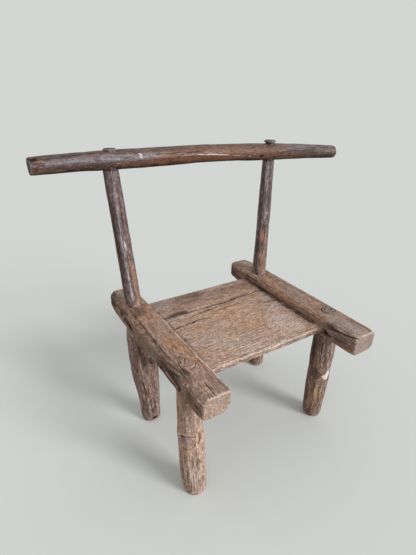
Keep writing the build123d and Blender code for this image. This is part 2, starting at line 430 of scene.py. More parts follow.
class Nodes:
    def __init__(self, tree):
        self.tree = tree
        tree.nodes.clear()

    def add(self, kind, settings, sockets, output=0):
        node = self.tree.nodes.new("ShaderNode" + kind)
        for key, value in settings.items():
            setattr(node, key, value)
        for key, value in sockets.items():
            if isinstance(value, Wire):
                self.tree.links.new(value.socket, node.inputs[key])
            else:
                node.inputs[key].default_value = value
        return Wire(self, node.outputs[output]) if len(node.outputs) else None

    def attribute(self, name):
        return self.add("Attribute", {"attribute_name": name}, {}, "Vector")

    def parts(self, vector):
        return [self.add("SeparateXYZ", {}, {"Vector": vector}, axis) for axis in "XYZ"]

    def vector(self, operation, a, b):
        return self.add("VectorMath", {"operation": operation}, {0: a, 1: b})

    def scaled(self, colour, factor):
        return self.add("VectorMath", {"operation": "SCALE"}, {0: colour, "Scale": factor})

    def mix(self, share, a, b):
        return self.add("Mix", {"data_type": "RGBA"}, {0: share, 6: a, 7: b}, 2)

    def cloud(self, vector, scale, detail=3.0, roughness=0.55, output="Fac"):
        # noise with bumps of one over the scale in metres, from 0 to 1 about a half
        stretched = self.vector("MULTIPLY", vector, scale)
        sockets = {"Vector": stretched, "Scale": 1.0, "Detail": detail, "Roughness": roughness}
        return self.add("TexNoise", {}, sockets, output)


def tone(red, green, blue):
    # a colour as a paint chart gives it, as the shader wants it
    shares = [value / 255 for value in (red, green, blue)]
    return tuple(s / 12.92 if s <= 0.04045 else ((s + 0.055) / 1.055) ** 2.4 for s in shares) + (1.0,)


def newMaterial(name):
    material = bpy.data.materials.new(name)
    material.use_nodes = True
    return material, Nodes(material.node_tree)


woodLook = {                     # hand-hewn hardwood, dry and handled for a long time
    "dark": tone(124, 96, 80),
    "mid": tone(158, 128, 112),
    "light": tone(184, 154, 138),
    "warm": tone(178, 128, 92),
    # grey is weathering, and also the painted sheen of the grey mark
    "grey": tone(150, 136, 129),
    "red": tone(132, 84, 64),
    "ringTone": tone(126, 94, 77),
    # pale is rubbed wear, and also the painted highlights of the pale mark
    "pale": tone(216, 196, 184),
    # stain is the colour of dirt, pores and seams, and also of the painted shade of the dark mark
    "stain": tone(60, 43, 37),
    # hollow is painted shade inside splits, hollows and cut walls
    "hollow": tone(32, 22, 19),
    "endTone": tone(184, 156, 139),
    "pith": (0.006, 0.004, 0.0),
    "tilt": 0.02,
    "bend": 0.02,
    "ringWidth": 0.0042,
    "ringStrength": 0.3,
    "contrast": 1.0,             # how far the grain lightens and darkens the wood
    "warmth": 0.45,
    "greyness": 0.45,
    "pores": 0.55,
    "seamWidth": 0.03,
    "seams": 0.5,
    "wear": 0.75,
    "roughness": 0.66,
    "polish": 0.3,
    "specular": 0.4,
    "relief": 0.0009,
}
grainNoise = {                   # bumps in a metre across and along the grain, detail, roughness
    "fibre": ((820, 820, 50), 4.0, 0.65),
    "streak": ((400, 400, 16), 4.0, 0.6),
    "grit": ((380, 380, 190), 3.0, 0.65),
    "mottle": ((170, 170, 75), 3.0, 0.62),
    "patch": ((46, 46, 26), 3.0, 0.6),
    "drift": ((15, 15, 8), 2.0, 0.5),
    "pore": ((600, 600, 120), 2.0, 0.5),
    "seam": ((210, 210, 10), 3.0, 0.55),
    "speckle": ((300, 300, 300), 4.0, 0.75),
}


def agedWood(name, look):
    look = {**woodLook, **look}
    material, nodes = newMaterial(name)
    grain = nodes.attribute("grain")
    deep, worn, polished = nodes.parts(nodes.attribute("marks"))
    dark, pale, warm = nodes.parts(nodes.attribute("tints"))
    end, grey, red = nodes.parts(nodes.attribute("tones"))

    # growth rings round a pith that wanders: rings on the ends and figure along the sides
    bend = nodes.cloud(grain, (30, 30, 7), 2.0, output="Color")
    bend = nodes.scaled(nodes.vector("SUBTRACT", bend, (0.5, 0.5, 0.5)), look["bend"])
    bent = nodes.vector("ADD", nodes.vector("ADD", grain, bend), look["pith"])
    x, y, z = nodes.parts(bent)
    tilted = y + z * look["tilt"]
    distance = ((x * x + tilted * tilted) ** 0.5) / look["ringWidth"]
    ring = distance.maths("FRACT", distance)
    ring = ring.rises(0.15, 0.95) * ring.rises(1.0, 0.93)

    clouds = [nodes.cloud(grain, *shape) for shape in grainNoise.values()]
    fibre, streak, grit, mottle, patch, drift, pore, seam, speckle = clouds
    pore = pore.rises(0.62, 0.7)
    seam = abs(seam - 0.5).rises(look["seamWidth"], 0.0) * patch.rises(0.48, 0.62)

    tan = nodes.mix(streak.rises(0.3, 0.6), look["dark"], look["mid"])
    tan = nodes.mix((mottle * 0.7 + grit * 0.3).rises(0.46, 0.62), tan, look["light"])
    tan = nodes.mix((patch * 0.7 + mottle * 0.3).rises(0.47, 0.62) * look["warmth"], tan, look["warm"])
    tan = nodes.mix(drift.rises(0.45, 0.64) * look["greyness"], tan, look["grey"])
    tan = nodes.mix(ring * look["ringStrength"], tan, look["ringTone"])
    ends = nodes.mix(ring * 0.35, look["endTone"], look["ringTone"])
    tan = nodes.mix(end, tan, nodes.scaled(ends, speckle * 0.8 + mottle * 0.5 + 0.36))
    tan = nodes.mix((red * (0.6 + patch * 0.6)).clamped(), tan, look["red"])
    # the grey mark is weathering, and also painted sheen where it follows the posts' and rail's highlights
    tan = nodes.mix((grey * (0.55 + streak * 0.7)).clamped(), tan, look["grey"])
    tan = nodes.mix((warm * (0.35 + patch * 0.9)).clamped(), tan, look["warm"])
    depth = fibre * 1.1 + grit * 2.0 + mottle * 0.9 + streak * 0.8 + patch * 0.6 - 2.7
    tan = nodes.scaled(tan, 1 + depth * look["contrast"])
    # scuffs with painted highlights, and dirt with painted shade, start as specks in the grain and close up as
    # they get stronger
    scuffAndHighlight = (grit * 0.5 + fibre * 0.5 + pale * 0.62).rises(0.7, 1.0) * (pale * 5).clamped()
    tan = nodes.mix(scuffAndHighlight * 0.9, tan, look["pale"])
    rub = (grit * 0.5 + fibre * 0.5 + worn * 0.55).rises(0.66, 0.95) * (worn * 5).clamped()
    tan = nodes.mix(rub * look["wear"], tan, look["pale"])
    # the dark mark holds dirt and painted shade, mixed in the stain colour
    dirtAndShade = (patch * 0.4 + streak * 0.3 + fibre * 0.3 + dark * 0.62).rises(0.64, 1.0)
    tan = nodes.mix(dirtAndShade * (dark * 5).clamped() * 0.92, tan, look["stain"])
    tan = nodes.mix(pore * (1 - end) * look["pores"], tan, look["stain"])
    tan = nodes.mix(seam * (1 - end) * look["seams"], tan, look["stain"])
    # painted shade: splits, hollows and the walls of cut holes are coloured the near-black hollow tone
    tan = nodes.mix(deep.rises(0.2, 0.7), tan, look["hollow"])

    rough = look["roughness"] + (fibre - 0.5) * 0.3 + (patch - 0.5) * 0.3
    rough = rough + deep * 0.2 + end * 0.1 - polished * look["polish"]
    relief = fibre * 0.6 + streak * 0.7 + mottle * 0.6 + ring * 0.2
    relief = relief - pore * 0.5 - seam * 0.9 + end * speckle * 0.5
    bump = {"Strength": 0.8, "Distance": look["relief"], "Height": relief}
    shader = nodes.add("BsdfPrincipled", {}, {
        "Base Color": tan,
        "Roughness": rough.clamped(),
        "Normal": nodes.add("Bump", {}, bump),
        "Specular IOR Level": look["specular"],
    })
    nodes.add("OutputMaterial", {}, {"Surface": shader})
    return material


beamGap = 276.0                  # between the beams' inner faces
beamTop = 271.0
beamBottom = 229.0
leftBeam = {
    "side": left,
    "width": 54.5,
    "front": -201.0,
    "back": 209.0,
    "toe": 0.0,
    "arrises": (3.0, 9.0, 3.5, 10.0),        # inner top, outer top, outer under, inner under
    "frontEdge": 2.8,
    "backEdge": 12.0,
    "frontInset": 1.5,
    "backInset": 4.5,
    "hew": 0.75,                             # how far the hewn faces wander
    "seed": 11,
    "work": [                    # what is done, on which face, and what that method of Billet takes
        # the long hollow in the outer side, its lip and the splinter left in it
        ("streak", "left", "dark", [(168, 264), (146, 262), (120, 262), (90, 262)], 7, 0.6),
        ("flake", "left", [(151, 257), (138, 249), (128, 244), (117, 239), (104, 236), (92, 233), (80, 232),
            (66, 240), (72, 248), (84, 254), (98, 257), (116, 258), (136, 259)], 6.5, 2.6,
            {"deep": 0.75, "dark": 1.0}),
        ("flake", "left", [(136, 252), (122, 247), (108, 243), (96, 239), (94, 242), (106, 247), (120, 251),
            (134, 255)], -4.0, 1.4, {"deep": -1.0, "dark": -0.8, "red": 0.9}),
        ("flake", "left", [(126, 249), (118, 246), (112, 245), (114, 248), (124, 251)], -0.6, 0.8,
            {"pale": 1.0, "red": -0.8}),
        ("flake", "left", [(92, 243), (86, 240), (80, 240), (84, 244)], -1.6, 0.8,
            {"pale": 0.7, "deep": -0.8, "dark": -0.8}),
        # painted highlight along the hollow's upper lip
        ("streak", "left", "pale", [(134, 261.5), (110, 259.5), (88, 257), (70, 250)], 1.8, 1.0),
        ("flake", "left", [(158, 267), (150, 268), (140, 263), (143, 259), (154, 262)], 0.8, 1.2,
            {"warm": 1.0, "pale": 0.35}),
        ("check", "left", [(112, 264), (64, 253), (34, 257), (11, 263)], 1.6, 1.4),
        ("check", "left", [(60, 246), (30, 247), (-12, 252)], 1.2, 0.8),
        ("stain", "left", "warm", (170, 246), (20, 20), 0.3),
        # dark bands and splits along the wide bevel
        ("flake", "top", [(-178, 168), (-194, 168), (-194, -186), (-181, -186)], 0.0, 2.0, {"worn": -0.85}),
        ("streak", "top", "dark", [(-180, 118), (-184, 42), (-185, -6), (-186, -52), (-186, -90)], 6.0, 0.62),
        ("check", "top", [(-180, 112), (-183, 80), (-185, 56)], 1.5, 1.2),
        ("check", "top", [(-184, 42), (-185.5, 4), (-186, -24)], 1.5, 1.2),
        ("check", "top", [(-185.5, -30), (-186, -64), (-185, -92)], 1.4, 1.1),
        ("stain", "left", "red", (-72, 254), (30, 11), 0.8),
        ("stain", "left", "dark", (-92, 257), (40, 10), 0.55),
        ("check", "left", [(-60, 252), (-84, 257), (-108, 261), (-132, 265)], 1.6, 1.6),
        ("check", "left", [(-76, 263), (-100, 266), (-126, 268)], 1.5, 1.2),
        ("check", "left", [(-88, 251), (-106, 256), (-124, 260), (-144, 262)], 1.6, 1.3),
        ("check", "left", [(-52, 258), (-70, 261), (-86, 263)], 1.5, 1.2),
        ("streak", "left", "grey", [(-96, 261.5), (-116, 265), (-134, 267)], 2.2, 1.0),
        ("streak", "left", "grey", [(-100, 256), (-120, 261), (-136, 263)], 1.8, 0.9),
        ("stain", "top", "dark", (-181, -128), (9, 22), 0.6),
        ("check", "top", [(-180, -110), (-181, -122), (-183.5, -134)], 1.8, 1.4),
        ("check", "top", [(-184, -112), (-186, -130), (-186, -146)], 1.6, 1.3),
        ("check", "top", [(-177, -122), (-178, -132), (-180, -142)], 1.5, 1.0),
        ("stain", "top", "grey", (-160, -168), (26, 44), 0.36),
        ("streak", "top", "dark", [(-170, 70), (-172, -20), (-174, -96)], 14, 0.42),
        ("stain", "front", "grey", (-150, 259), (20, 12), 0.5),
        ("stain", "front", "warm", (-180, 240), (16, 10), 0.3),
        # the back end, the underside and the inner side
        ("check", "back", [(-163, 249), (-156, 257), (-148, 262)], 2.0, 2.4),
        ("check", "back", [(-166, 250), (-176, 247), (-184, 240)], 1.7, 1.8),
        ("check", "back", [(-164, 247), (-162, 240), (-166, 234)], 1.4, 1.4),
        ("check", "under", [(-160, 40), (-163, -20), (-158, -70)], 2.2, 2.4),
        ("check", "right", [(-150, 262), (-168, 261), (-190, 263)], 1.6, 1.6),
        ("streak", "top", "grey", [(-181.5, -116), (-183, -128), (-185, -140)], 1.6, 1.0),
        ("flake", "left", [(-140, 264), (-142.5, 265.5), (-145, 264), (-144, 261), (-141, 261)], 0.6, 0.7,
            {"pale": 1.0, "dark": -0.9}),
        ("flake", "left", [(-149, 266), (-151, 267), (-155, 265), (-154, 262), (-150, 262.5)], 0.5, 0.7,
            {"pale": 0.9, "dark": -0.9}),
        ("flake", "left", [(-157, 263), (-160, 264), (-163, 262), (-161, 259.5), (-158, 260)], 0.5, 0.7,
            {"pale": 0.7}),
        ("check", "left", [(-147, 266), (-150, 262), (-151, 257)], 1.4, 1.0),
        # bright splinter under the splits, with painted shade in the gap below it and along the split above it
        ("stain", "left", "dark", (-60, 243), (30, 12), 0.6),
        ("check", "left", [(-62, 257), (-84, 258.5), (-106, 260), (-132, 261)], 2.4, 2.2),
        ("check", "left", [(-68, 253), (-90, 254), (-112, 255), (-136, 255)], 2.2, 2.0),
        ("flake", "left", [(-56, 241), (-66, 243), (-76, 241), (-77, 235), (-68, 232), (-58, 234)], 4.0, 1.8,
            {"deep": 0.8, "dark": 1.0}),
        ("flake", "left", [(-62, 240), (-68, 240.5), (-70, 236.5), (-64, 236)], -2.0, 0.8,
            {"pale": 1.0, "deep": -1.0, "dark": -1.0}),
        ("flake", "left", [(-79, 247), (-96, 247), (-112, 246), (-127, 243.5), (-127, 238.5), (-112, 238),
            (-96, 238.5), (-79, 240.5)], -1.2, 1.2, {"warm": 1.0, "dark": -1.0, "red": 0.35}),
        ("streak", "left", "warm", [(-80, 244), (-98, 243.5), (-124, 241.5)], 5.0, 1.6),
        ("streak", "left", "pale", [(-82, 245.5), (-98, 245), (-114, 244)], 2.0, 1.0),
        # painted shade along the gaps above and below the splinter
        ("streak", "left", "dark", [(-66, 250), (-92, 251.5), (-112, 251), (-134, 247)], 3.4, 1.2),
        ("streak", "left", "dark", [(-72, 236), (-92, 234.5), (-112, 234), (-130, 235)], 3.0, 1.0),
        ("check", "left", [(-70, 250), (-92, 250.5), (-110, 250), (-132, 246)], 4.4, 4.4, 0.5, 0.8),
        ("check", "left", [(-74, 237.5), (-92, 236), (-110, 235.5), (-128, 236)], 3.4, 3.6, 0.5, 0.8),
        ("flake", "left", [(-126, 246), (-132, 246), (-134, 237), (-127, 236)], 2.6, 1.2,
            {"deep": 0.8, "dark": 0.9}),
        ("stain", "left", "grey", (5, 246), (70, 16), 0.35),
        ("stain", "left", "dark", (30, 246), (120, 20), 0.36),
        ("stain", "left", "warm", (-176, 248), (26, 14), 0.5),
        ("stain", "left", "dark", (-172, 248), (40, 22), 0.5),
        ("fineChecks", "left", (-204, 234), (-150, 264), 18, 24, 0, 1.9),
        ("streak", "left", "pale", [(-152, 246), (-172, 249), (-192, 253)], 2.0, 0.6),
        ("stain", "left", "dark", (186, 252), (34, 26), 0.7),
        ("stain", "left", "grey", (186, 252), (34, 26), 0.5),
        ("stain", "top", "dark", (-166, 84), (26, 34), 0.55),
        ("stain", "top", "dark", (-163, -36), (28, 60), 0.36),
        ("stain", "top", "dark", (-166, 178), (34, 30), 0.36),
        # the top
        ("check", "top", [(-166.5, -162), (-167, -179), (-167.5, -199)], 1.8, 3.0),
        ("check", "top", [(-150, -172), (-147, -181), (-142.5, -190)], 1.1, 1.0),
        ("check", "top", [(-158, -140), (-157, -156), (-159, -170)], 1.0, 0.8),
        ("check", "top", [(-147, -96), (-146, -122), (-148, -150)], 1.1, 0.9),
        ("stain", "top", "grey", (-165, 168), (32, 46), 0.9),
        ("stain", "top", "dark", (-166, 118), (26, 24), 0.55),
        ("stain", "top", "dark", (-184, 150), (10, 40), 0.45),
        ("stain", "top", "warm", (-166, 60), (24, 46), 0.5),
        ("stain", "top", "warm", (-160, -44), (22, 50), 0.8),
        ("stain", "top", "dark", (-168, -88), (18, 7), 0.4),
        ("streak", "top", "pale", [(-140, 66), (-140, 0), (-140.5, -90), (-140, -196)], 3.6, 1.0),
        ("streak", "top", "dark", [(-168, -124), (-172, -150), (-178, -172)], 5.0, 0.3),
    ],
    "hairs": [                   # seed, face, two corners, count, length, axis, widest
        (300, "top", (-190, -195), (-142, 185), 10, 34, 1, 1.4),
        (350, "under", (-190, -195), (-142, 185), 10, 34, 1, 1.4),
        (400, "left", (-195, 234), (185, 266), 10, 34, 0, 1.4),
        (450, "right", (-195, 234), (185, 266), 10, 34, 0, 1.4),
    ],
    "look": {
        "mid": tone(153, 120, 102), "dark": tone(119, 88, 72), "light": tone(178, 146, 129),
        "warm": tone(176, 130, 98), "grey": tone(158, 140, 131), "warmth": 0.55,
        "endTone": tone(188, 162, 147), "ringTone": tone(130, 100, 84),
    },
}
rightBeam = {
    "side": right,
    "width": 54.0,
    "front": -206.5,
    "back": 208.0,
    "toe": 2.5,
    "arrises": (5.0, 4.5, 9.0, 3.5),
    "frontEdge": 2.4,
    "backEdge": 14.0,
    "frontInset": 1.5,
    "backInset": 4.0,
    "hew": 0.7,
    "seed": 37,
    "work": [
        ("check", "left", [(-134, 253), (-146, 257), (-159, 260), (-178, 264), (-195, 266.5), (-208, 268.5)],
            2.6, 3.4),
        ("flake", "left", [(-199, 270.5), (-206, 270.5), (-208, 265.5), (-202, 265)], 0.5, 0.8,
            {"warm": 1.0, "pale": 0.6}),
        ("flake", "left", [(-127, 250), (-134, 250), (-140, 246), (-142, 241), (-137, 238), (-129, 238)],
            2.4, 1.8, {"deep": 0.5, "dark": 1.0, "red": 0.6}),
        ("stain", "left", "dark", (-172, 244), (38, 17), 0.5),
        ("stain", "left", "dark", (150, 236), (80, 16), 0.5),
        ("streak", "left", "warm", [(64, 262), (21, 263), (-59, 262), (-122, 257)], 6.0, 0.95),
        ("streak", "top", "warm", [(141, 66), (141, 0), (141, -60), (142, -124)], 6.0, 0.75),
        # painted shade along the foot of the inner side, where it meets the seat
        ("streak", "left", "dark", [(146, 253), (66, 252), (0, 251), (-61, 251), (-122, 251)], 6.0, 0.95),
        ("streak", "left", "dark", [(150, 262), (110, 262), (70, 258)], 6.0, 0.7),
        ("stain", "left", "dark", (-148, 262), (18, 8), 0.6),
        ("stain", "left", "dark", (-140, 242), (20, 10), 0.5),
        ("stain", "left", "warm", (-190, 236), (26, 9), 0.6),
        ("stain", "left", "dark", (188, 250), (34, 26), 0.6),
        ("stain", "top", "grey", (166, 160), (26, 44), 0.6),
        ("stain", "top", "pale", (168, 182), (16, 14), 0.5),
        ("stain", "top", "dark", (162, 112), (24, 22), 0.5),
        ("stain", "top", "grey", (160, -156), (28, 52), 0.95),
        ("stain", "top", "pale", (168, -196), (30, 24), 0.45),
        ("check", "top", [(176, 62), (178, 10), (180, -44)], 1.1, 0.9),
        ("check", "top", [(160, 24), (161, -44)], 1.0, 0.8),
        ("check", "top", [(150, -148), (152, -192)], 1.2, 1.0),
        ("check", "top", [(184, -150), (184, -204)], 1.2, 1.0),
        ("flake", "front", [(139, 271), (141, 262), (147, 265), (146, 271)], 0.8, 0.8,
            {"pale": 0.8, "warm": 0.5}),
        # the outer side and the ends
        ("check", "right", [(150, 256), (98, 254), (40, 258), (6, 257)], 2.6, 2.8),
        ("check", "right", [(96, 258), (70, 260), (44, 259)], 1.8, 1.5),
        ("check", "right", [(-58, 244), (-104, 241), (-152, 243)], 2.2, 2.2),
        ("check", "right", [(62, 240), (22, 238), (-16, 240)], 1.8, 1.6),
        ("flake", "right", [(-178, 262), (-150, 265), (-130, 262), (-138, 255), (-170, 254)], 1.3, 1.8,
            {"grey": 0.5, "pale": 0.2}),
        ("stain", "right", "dark", (104, 246), (64, 12), 0.5),
        ("stain", "right", "warm", (-20, 256), (70, 10), 0.6),
        ("stain", "right", "grey", (-140, 250), (50, 18), 0.5),
        ("check", "back", [(163, 249), (152, 255), (146, 262)], 2.2, 2.4),
        ("check", "back", [(166, 250), (178, 252), (186, 258)], 1.7, 1.8),
        ("check", "front", [(162, 248), (172, 255), (182, 262)], 1.6, 1.8),
        ("check", "front", [(160, 246), (152, 240), (146, 234)], 1.3, 1.2),
        ("check", "under", [(166, 30), (162, -30), (166, -78)], 2.2, 2.4),
    ],
    "hairs": [
        (300, "top", (142, -200), (190, 185), 10, 34, 1, 1.4),
        (350, "under", (142, -200), (190, 185), 10, 34, 1, 1.4),
        (400, "left", (-195, 234), (185, 266), 10, 34, 0, 1.4),
        (450, "right", (-195, 234), (185, 266), 10, 34, 0, 1.4),
    ],
    "look": {
        "mid": tone(144, 113, 98), "dark": tone(112, 84, 70), "light": tone(168, 138, 123),
        "warmth": 0.4, "endTone": tone(170, 152, 145), "pith": (-0.02, 0.012, 0.0), "contrast": 0.9,
    },
}
beamShape = {
    "facePoints": (76, 18, 48, 8, 30, 14, 40, 10),   # along each of a beam's eight faces
    "step": 1.6,                 # from one ring to the next
    "blurs": 8,                  # passes that round the arrises
    "frontTaper": 14,            # how far in from each end a beam narrows
    "backTaper": 44,
    "hewing": [((26, 90, 26), 0.6), ((9, 34, 9), 0.35), ((3.2, 36, 3.2), 0.3)],
}
beamJoints = {
    "bore": (216.0, 292.0),      # heights between which the leg's mortise is cut
    "boreSlack": 0.25,
    "boreWander": 1.5,
    "bedReach": 18.5,            # dirt round the tenon's end
    "bedDirt": 0.75,
    "groove": (9.6, -127.2, 141.0, 237.8, 249.9),    # depth, front, back, bottom, top
}


def beamBillet(beam):
    side = beam["side"]
    innerTop, outerTop, outerUnder, innerUnder = beam["arrises"]
    first = beam["front"] + beam["frontEdge"]
    last = beam["back"] - beam["backEdge"]
    stations = np.linspace(first, last, round((last - first) / beamShape["step"]))
    narrows = beam["front"] + beamShape["frontTaper"], beam["back"] - beamShape["backTaper"]
    inset = np.interp(
        stations,
        (beam["front"], *narrows, beam["back"]),
        (beam["frontInset"], 0, 0, beam["backInset"]),
    )
    shift = -beam["toe"] * stations / beam["back"]
    inner = side * (beamGap / 2 + inset) + shift
    outer = side * (beamGap / 2 + beam["width"] - inset) + shift
    top = beamTop - inset
    bottom = beamBottom + inset
    corners = np.array([
        (inner + side * innerTop, top),
        (outer - side * outerTop, top),
        (outer, top - outerTop),
        (outer, bottom + outerUnder),
        (outer - side * outerUnder, bottom),
        (inner + side * innerUnder, bottom),
        (inner, bottom + innerUnder),
        (inner, top - innerTop),
    ]).transpose(2, 0, 1)
    seed = beam["seed"]
    for corner in range(corners.shape[1]):
        for axis in range(2):
            lane = [np.full_like(stations, offset) for offset in (40.0 * corner, 90.0 * axis)]
            spots = np.stack((stations, *lane), 1)
            corners[:, corner, axis] -= beam["hew"] * wander(spots, 52.0, seed)
            corners[:, corner, axis] -= 0.5 * beam["hew"] * wander(spots, 15.0, seed + 1)
    loops = []
    for start, end, count in zip(
        corners.transpose(1, 0, 2), np.roll(corners, -1, 1).transpose(1, 0, 2), beamShape["facePoints"]
    ):
        shares = (np.arange(count) / count)[None, :, None]
        loops.append(start[:, None] + (end - start)[:, None] * shares)
    loops = blurAround(np.concatenate(loops, 1), beamShape["blurs"])
    lengthwise = np.broadcast_to(stations[:, None], loops.shape[:2])
    body = np.stack((loops[..., 0], lengthwise, loops[..., 1]), 2)
    billet = Billet(capped(body, backward, (beam["frontEdge"], 1.3), (beam["backEdge"], 1.5)))
    billet.hew(beamShape["hewing"], seed + 2)
    billet.refresh()
    billet.wearArrises(9, 0.45)
    billet.endGrain(-backward)
    billet.endGrain(backward, 0.6, 0.95)
    # a thin ragged rim of torn fibres in front, and a rounder end behind
    fromFront = billet.start[..., 1] - beam["front"]
    billet.marks["worn"] *= 1 - 0.75 * softStep((7 - fromFront) / 4)
    ragged = 3.0 + 3.0 * wander(billet.start, 3.2, seed + 8)
    ragged = ragged + 1.6 * wander(billet.start, 12.0, seed + 9) - fromFront
    billet.mark("worn", ..., softStep(ragged / 1.2) * softStep(1.6 - 1.6 * billet.marks["end"]))
    billet.marks["worn"] *= 1 - 0.6 * softStep((billet.start[..., 1] - beam["back"] + 16) / 5)
    billet.strew(beam["hairs"], seed)
    billet.age(beam["work"], seed + 60)
    return billet


def mortiseCutter(name, low, high, radius, slack, seed):
    # a hand-bored hole along a leaning axis; slack is how far its wall wanders outwards
    low, high = np.array(low, float), np.array(high, float)
    along = (high - low) / np.linalg.norm(high - low)
    across = np.cross(along, backward)
    across /= np.linalg.norm(across)
    ways = circle(96, across, np.cross(along, across))[1]
    rings = []
    for share in np.linspace(0, 1, 12):
        middle = low + (high - low) * share
        spots = middle + 30 * ways
        flare = 1 + 0.8 * share ** 4
        uneven = 0.5 + 0.7 * wander(spots, 19.0, seed) + 0.5 * wander(spots, 7.0, seed + 1)
        wall = radius + slack * flare * uneven.clip(0)
        rings.append(middle + wall[:, None] * ways)
    return skinOf(name, np.array(rings))


def grooveCutter(depth, front, back, bottom, top):
    # the groove that the seat's tongues slide into, as one slab that reaches both beams
    reach = beamGap / 2 + depth
    loop = edgeLoop(((back, bottom), (back, top), (front, top), (front, bottom)), (40, 40, 40, 40))
    rings = alongX(loop, np.linspace(-reach, reach, 160))
    rings[..., 2] += 0.25 * wander(rings, 14.0, 71)
    return skinOf("groove", rings)


viewTurn = math.radians(32.5)                # the legs' outlines were taken square to this turn
acrossView = np.array((math.cos(viewTurn), -math.sin(viewTurn), 0.0))
legTenon = 13.5                              # radius
# On legs and posts the "round" face is drawn by turn in degrees from +X and by height in mm.
frontLeftLeg = {
    "low": (-168.55, -139.5, 0.0),
    "high": (-166.55, -109.0, 271.0),
    "outline": [                             # height, then radius to the left and to the right
        (0, 17.2, 19.0), (4, 19.4, 21.4), (12, 21.6, 23.2), (24, 23.0, 24.0), (48, 24.5, 24.6),
        (90, 24.4, 24.9), (118, 25.2, 24.6), (131, 25.2, 24.0), (137, 24.8, 22.9), (170, 23.6, 22.6),
        (210, 22.5, 22.8), (232, 22.3, 22.6),
    ],
    "tenonTop": 272.2,
    "facets": 9,
    "phase": 5.0,
    "seed": 101,
    "wedge": {"turn": 57.0, "offset": 4.0, "half": 8.6, "thickness": 2.9},
    "work": [
        ("flake", "round", [(-224, 136), (-164, 138), (-129, 140), (-86, 141), (-76, 168), (-80, 200), (-88, 234),
            (-224, 234)], 1.3, 4.0, {"grey": 0.55}),
        ("stain", "round", "warm", (-176, 186), (9, 50), 0.6),
        # painted shade down the left edge, away from the light
        ("stain", "round", "dark", (-190, 186), (10, 50), 0.4),
        ("stain", "round", "dark", (-120, 192), (44, 60), 0.36),
        ("check", "round", [(-178, 133), (-160, 137), (-132, 139), (-97, 138.5)], 2.1, 1.5),
        ("flake", "round", [(-172, 132), (-156, 136), (-125, 136.5), (-106, 133), (-101, 127), (-108, 120),
            (-130, 116), (-156, 115), (-172, 120)], 0.7, 1.2, {"grey": 0.85}),
        ("check", "round", [(-176, 120), (-166, 114), (-150, 111.5), (-130, 112.5), (-108, 118), (-99, 129)],
            1.7, 0.9),
        ("flake", "round", [(-86, 144), (-74, 147), (-64, 136), (-66, 121), (-78, 119), (-88, 126)], 1.8, 3.4,
            {"grey": 1.0, "dark": 0.5}),
        ("flake", "round", [(-92, 128), (-86, 130), (-83, 122), (-90, 119)], 1.6, 1.0,
            {"dark": 1.0, "deep": 0.5}),
        ("fineChecks", "round", (-170, 6), (-72, 66), 30, 56, 1, 1.8),
        ("check", "round", [(-121, 104), (-118, 88), (-119, 70)], 1.4, 0.9),
        ("check", "round", [(-119, 58), (-118, 40), (-117, 10)], 1.7, 1.2),
        ("check", "round", [(-142, 70), (-143, 46), (-146, 12)], 1.6, 1.2),
        ("check", "round", [(-92, 98), (-94, 76), (-95, 60)], 1.4, 0.9),
        ("check", "round", [(-97, 48), (-96, 30), (-98, 8)], 1.5, 1.0),
        ("check", "round", [(-105, 114), (-102, 96), (-103, 76)], 1.3, 0.8),
        ("check", "round", [(-133, 108), (-131, 84)], 1.3, 0.8),
        ("check", "round", [(-155, 106), (-153, 84), (-152, 66)], 1.3, 0.8),
        ("check", "round", [(-160, 62), (-142, 58.5), (-124, 61)], 1.4, 0.8),
        ("check", "round", [(-80, 112), (-83, 84), (-84, 60)], 1.3, 0.9),
        ("check", "round", [(-86, 44), (-88, 12)], 1.4, 0.9),
        ("check", "round", [(-108, 44), (-107, 12)], 1.4, 0.9),
        ("check", "round", [(-70, 100), (-73, 60)], 1.2, 0.8),
        ("check", "round", [(-130, 40), (-131, 8)], 1.4, 0.9),
        ("check", "round", [(-96, 163), (-84, 161), (-66, 160)], 1.3, 0.8),
        ("stain", "round", "pale", (-86, 66), (12, 40), 0.4),
        ("stain", "round", "warm", (-152, 96), (14, 26), 0.5),
        ("stain", "round", "warm", (-122, 92), (12, 18), 0.4),
        ("stain", "round", "warm", (-96, 134), (7, 9), 0.6),
        ("stain", "round", "pale", (-112, 58), (30, 60), 0.6),
        # painted shade on the left side, away from the light, and under the beam
        ("stain", "round", "dark", (-174, 70), (8, 60), 0.45),
        ("stain", "round", "dark", (-100, 224), (60, 10), 0.5),
        ("check", "round", [(-262, 200), (-258, 110), (-264, 30)], 2.2, 2.2),
        ("check", "round", [(-20, 210), (-16, 150), (-20, 90)], 1.8, 1.8),
        ("check", "round", [(22, 120), (25, 30)], 1.6, 1.4),
        ("stain", "round", "grey", (-262, 150), (40, 70), 0.5),
        ("stain", "top", "grey", (-176, -108), (7, 12), 0.9),
        ("stain", "top", "warm", (-162, -108), (9, 10), 0.5),
        ("check", "top", [(-166, -112), (-160, -101)], 1.2, 1.2),
        ("check", "top", [(-170, -118), (-175, -121)], 1.4, 1.5),
        ("flake", "top", [(-180, -104), (-176, -98), (-173, -102), (-177, -107)], 1.4, 1.0, {"dark": 0.9}),
    ],
    "look": {"mid": tone(195, 165, 147), "dark": tone(160, 128, 110), "light": tone(216, 188, 170),
        "warm": tone(204, 160, 118), "grey": tone(166, 141, 131), "endTone": tone(150, 122, 110),
        "ringStrength": 0.12, "seams": 0.55, "contrast": 0.85, "warmth": 0.25, "greyness": 0.2, "pores": 0.45},
}
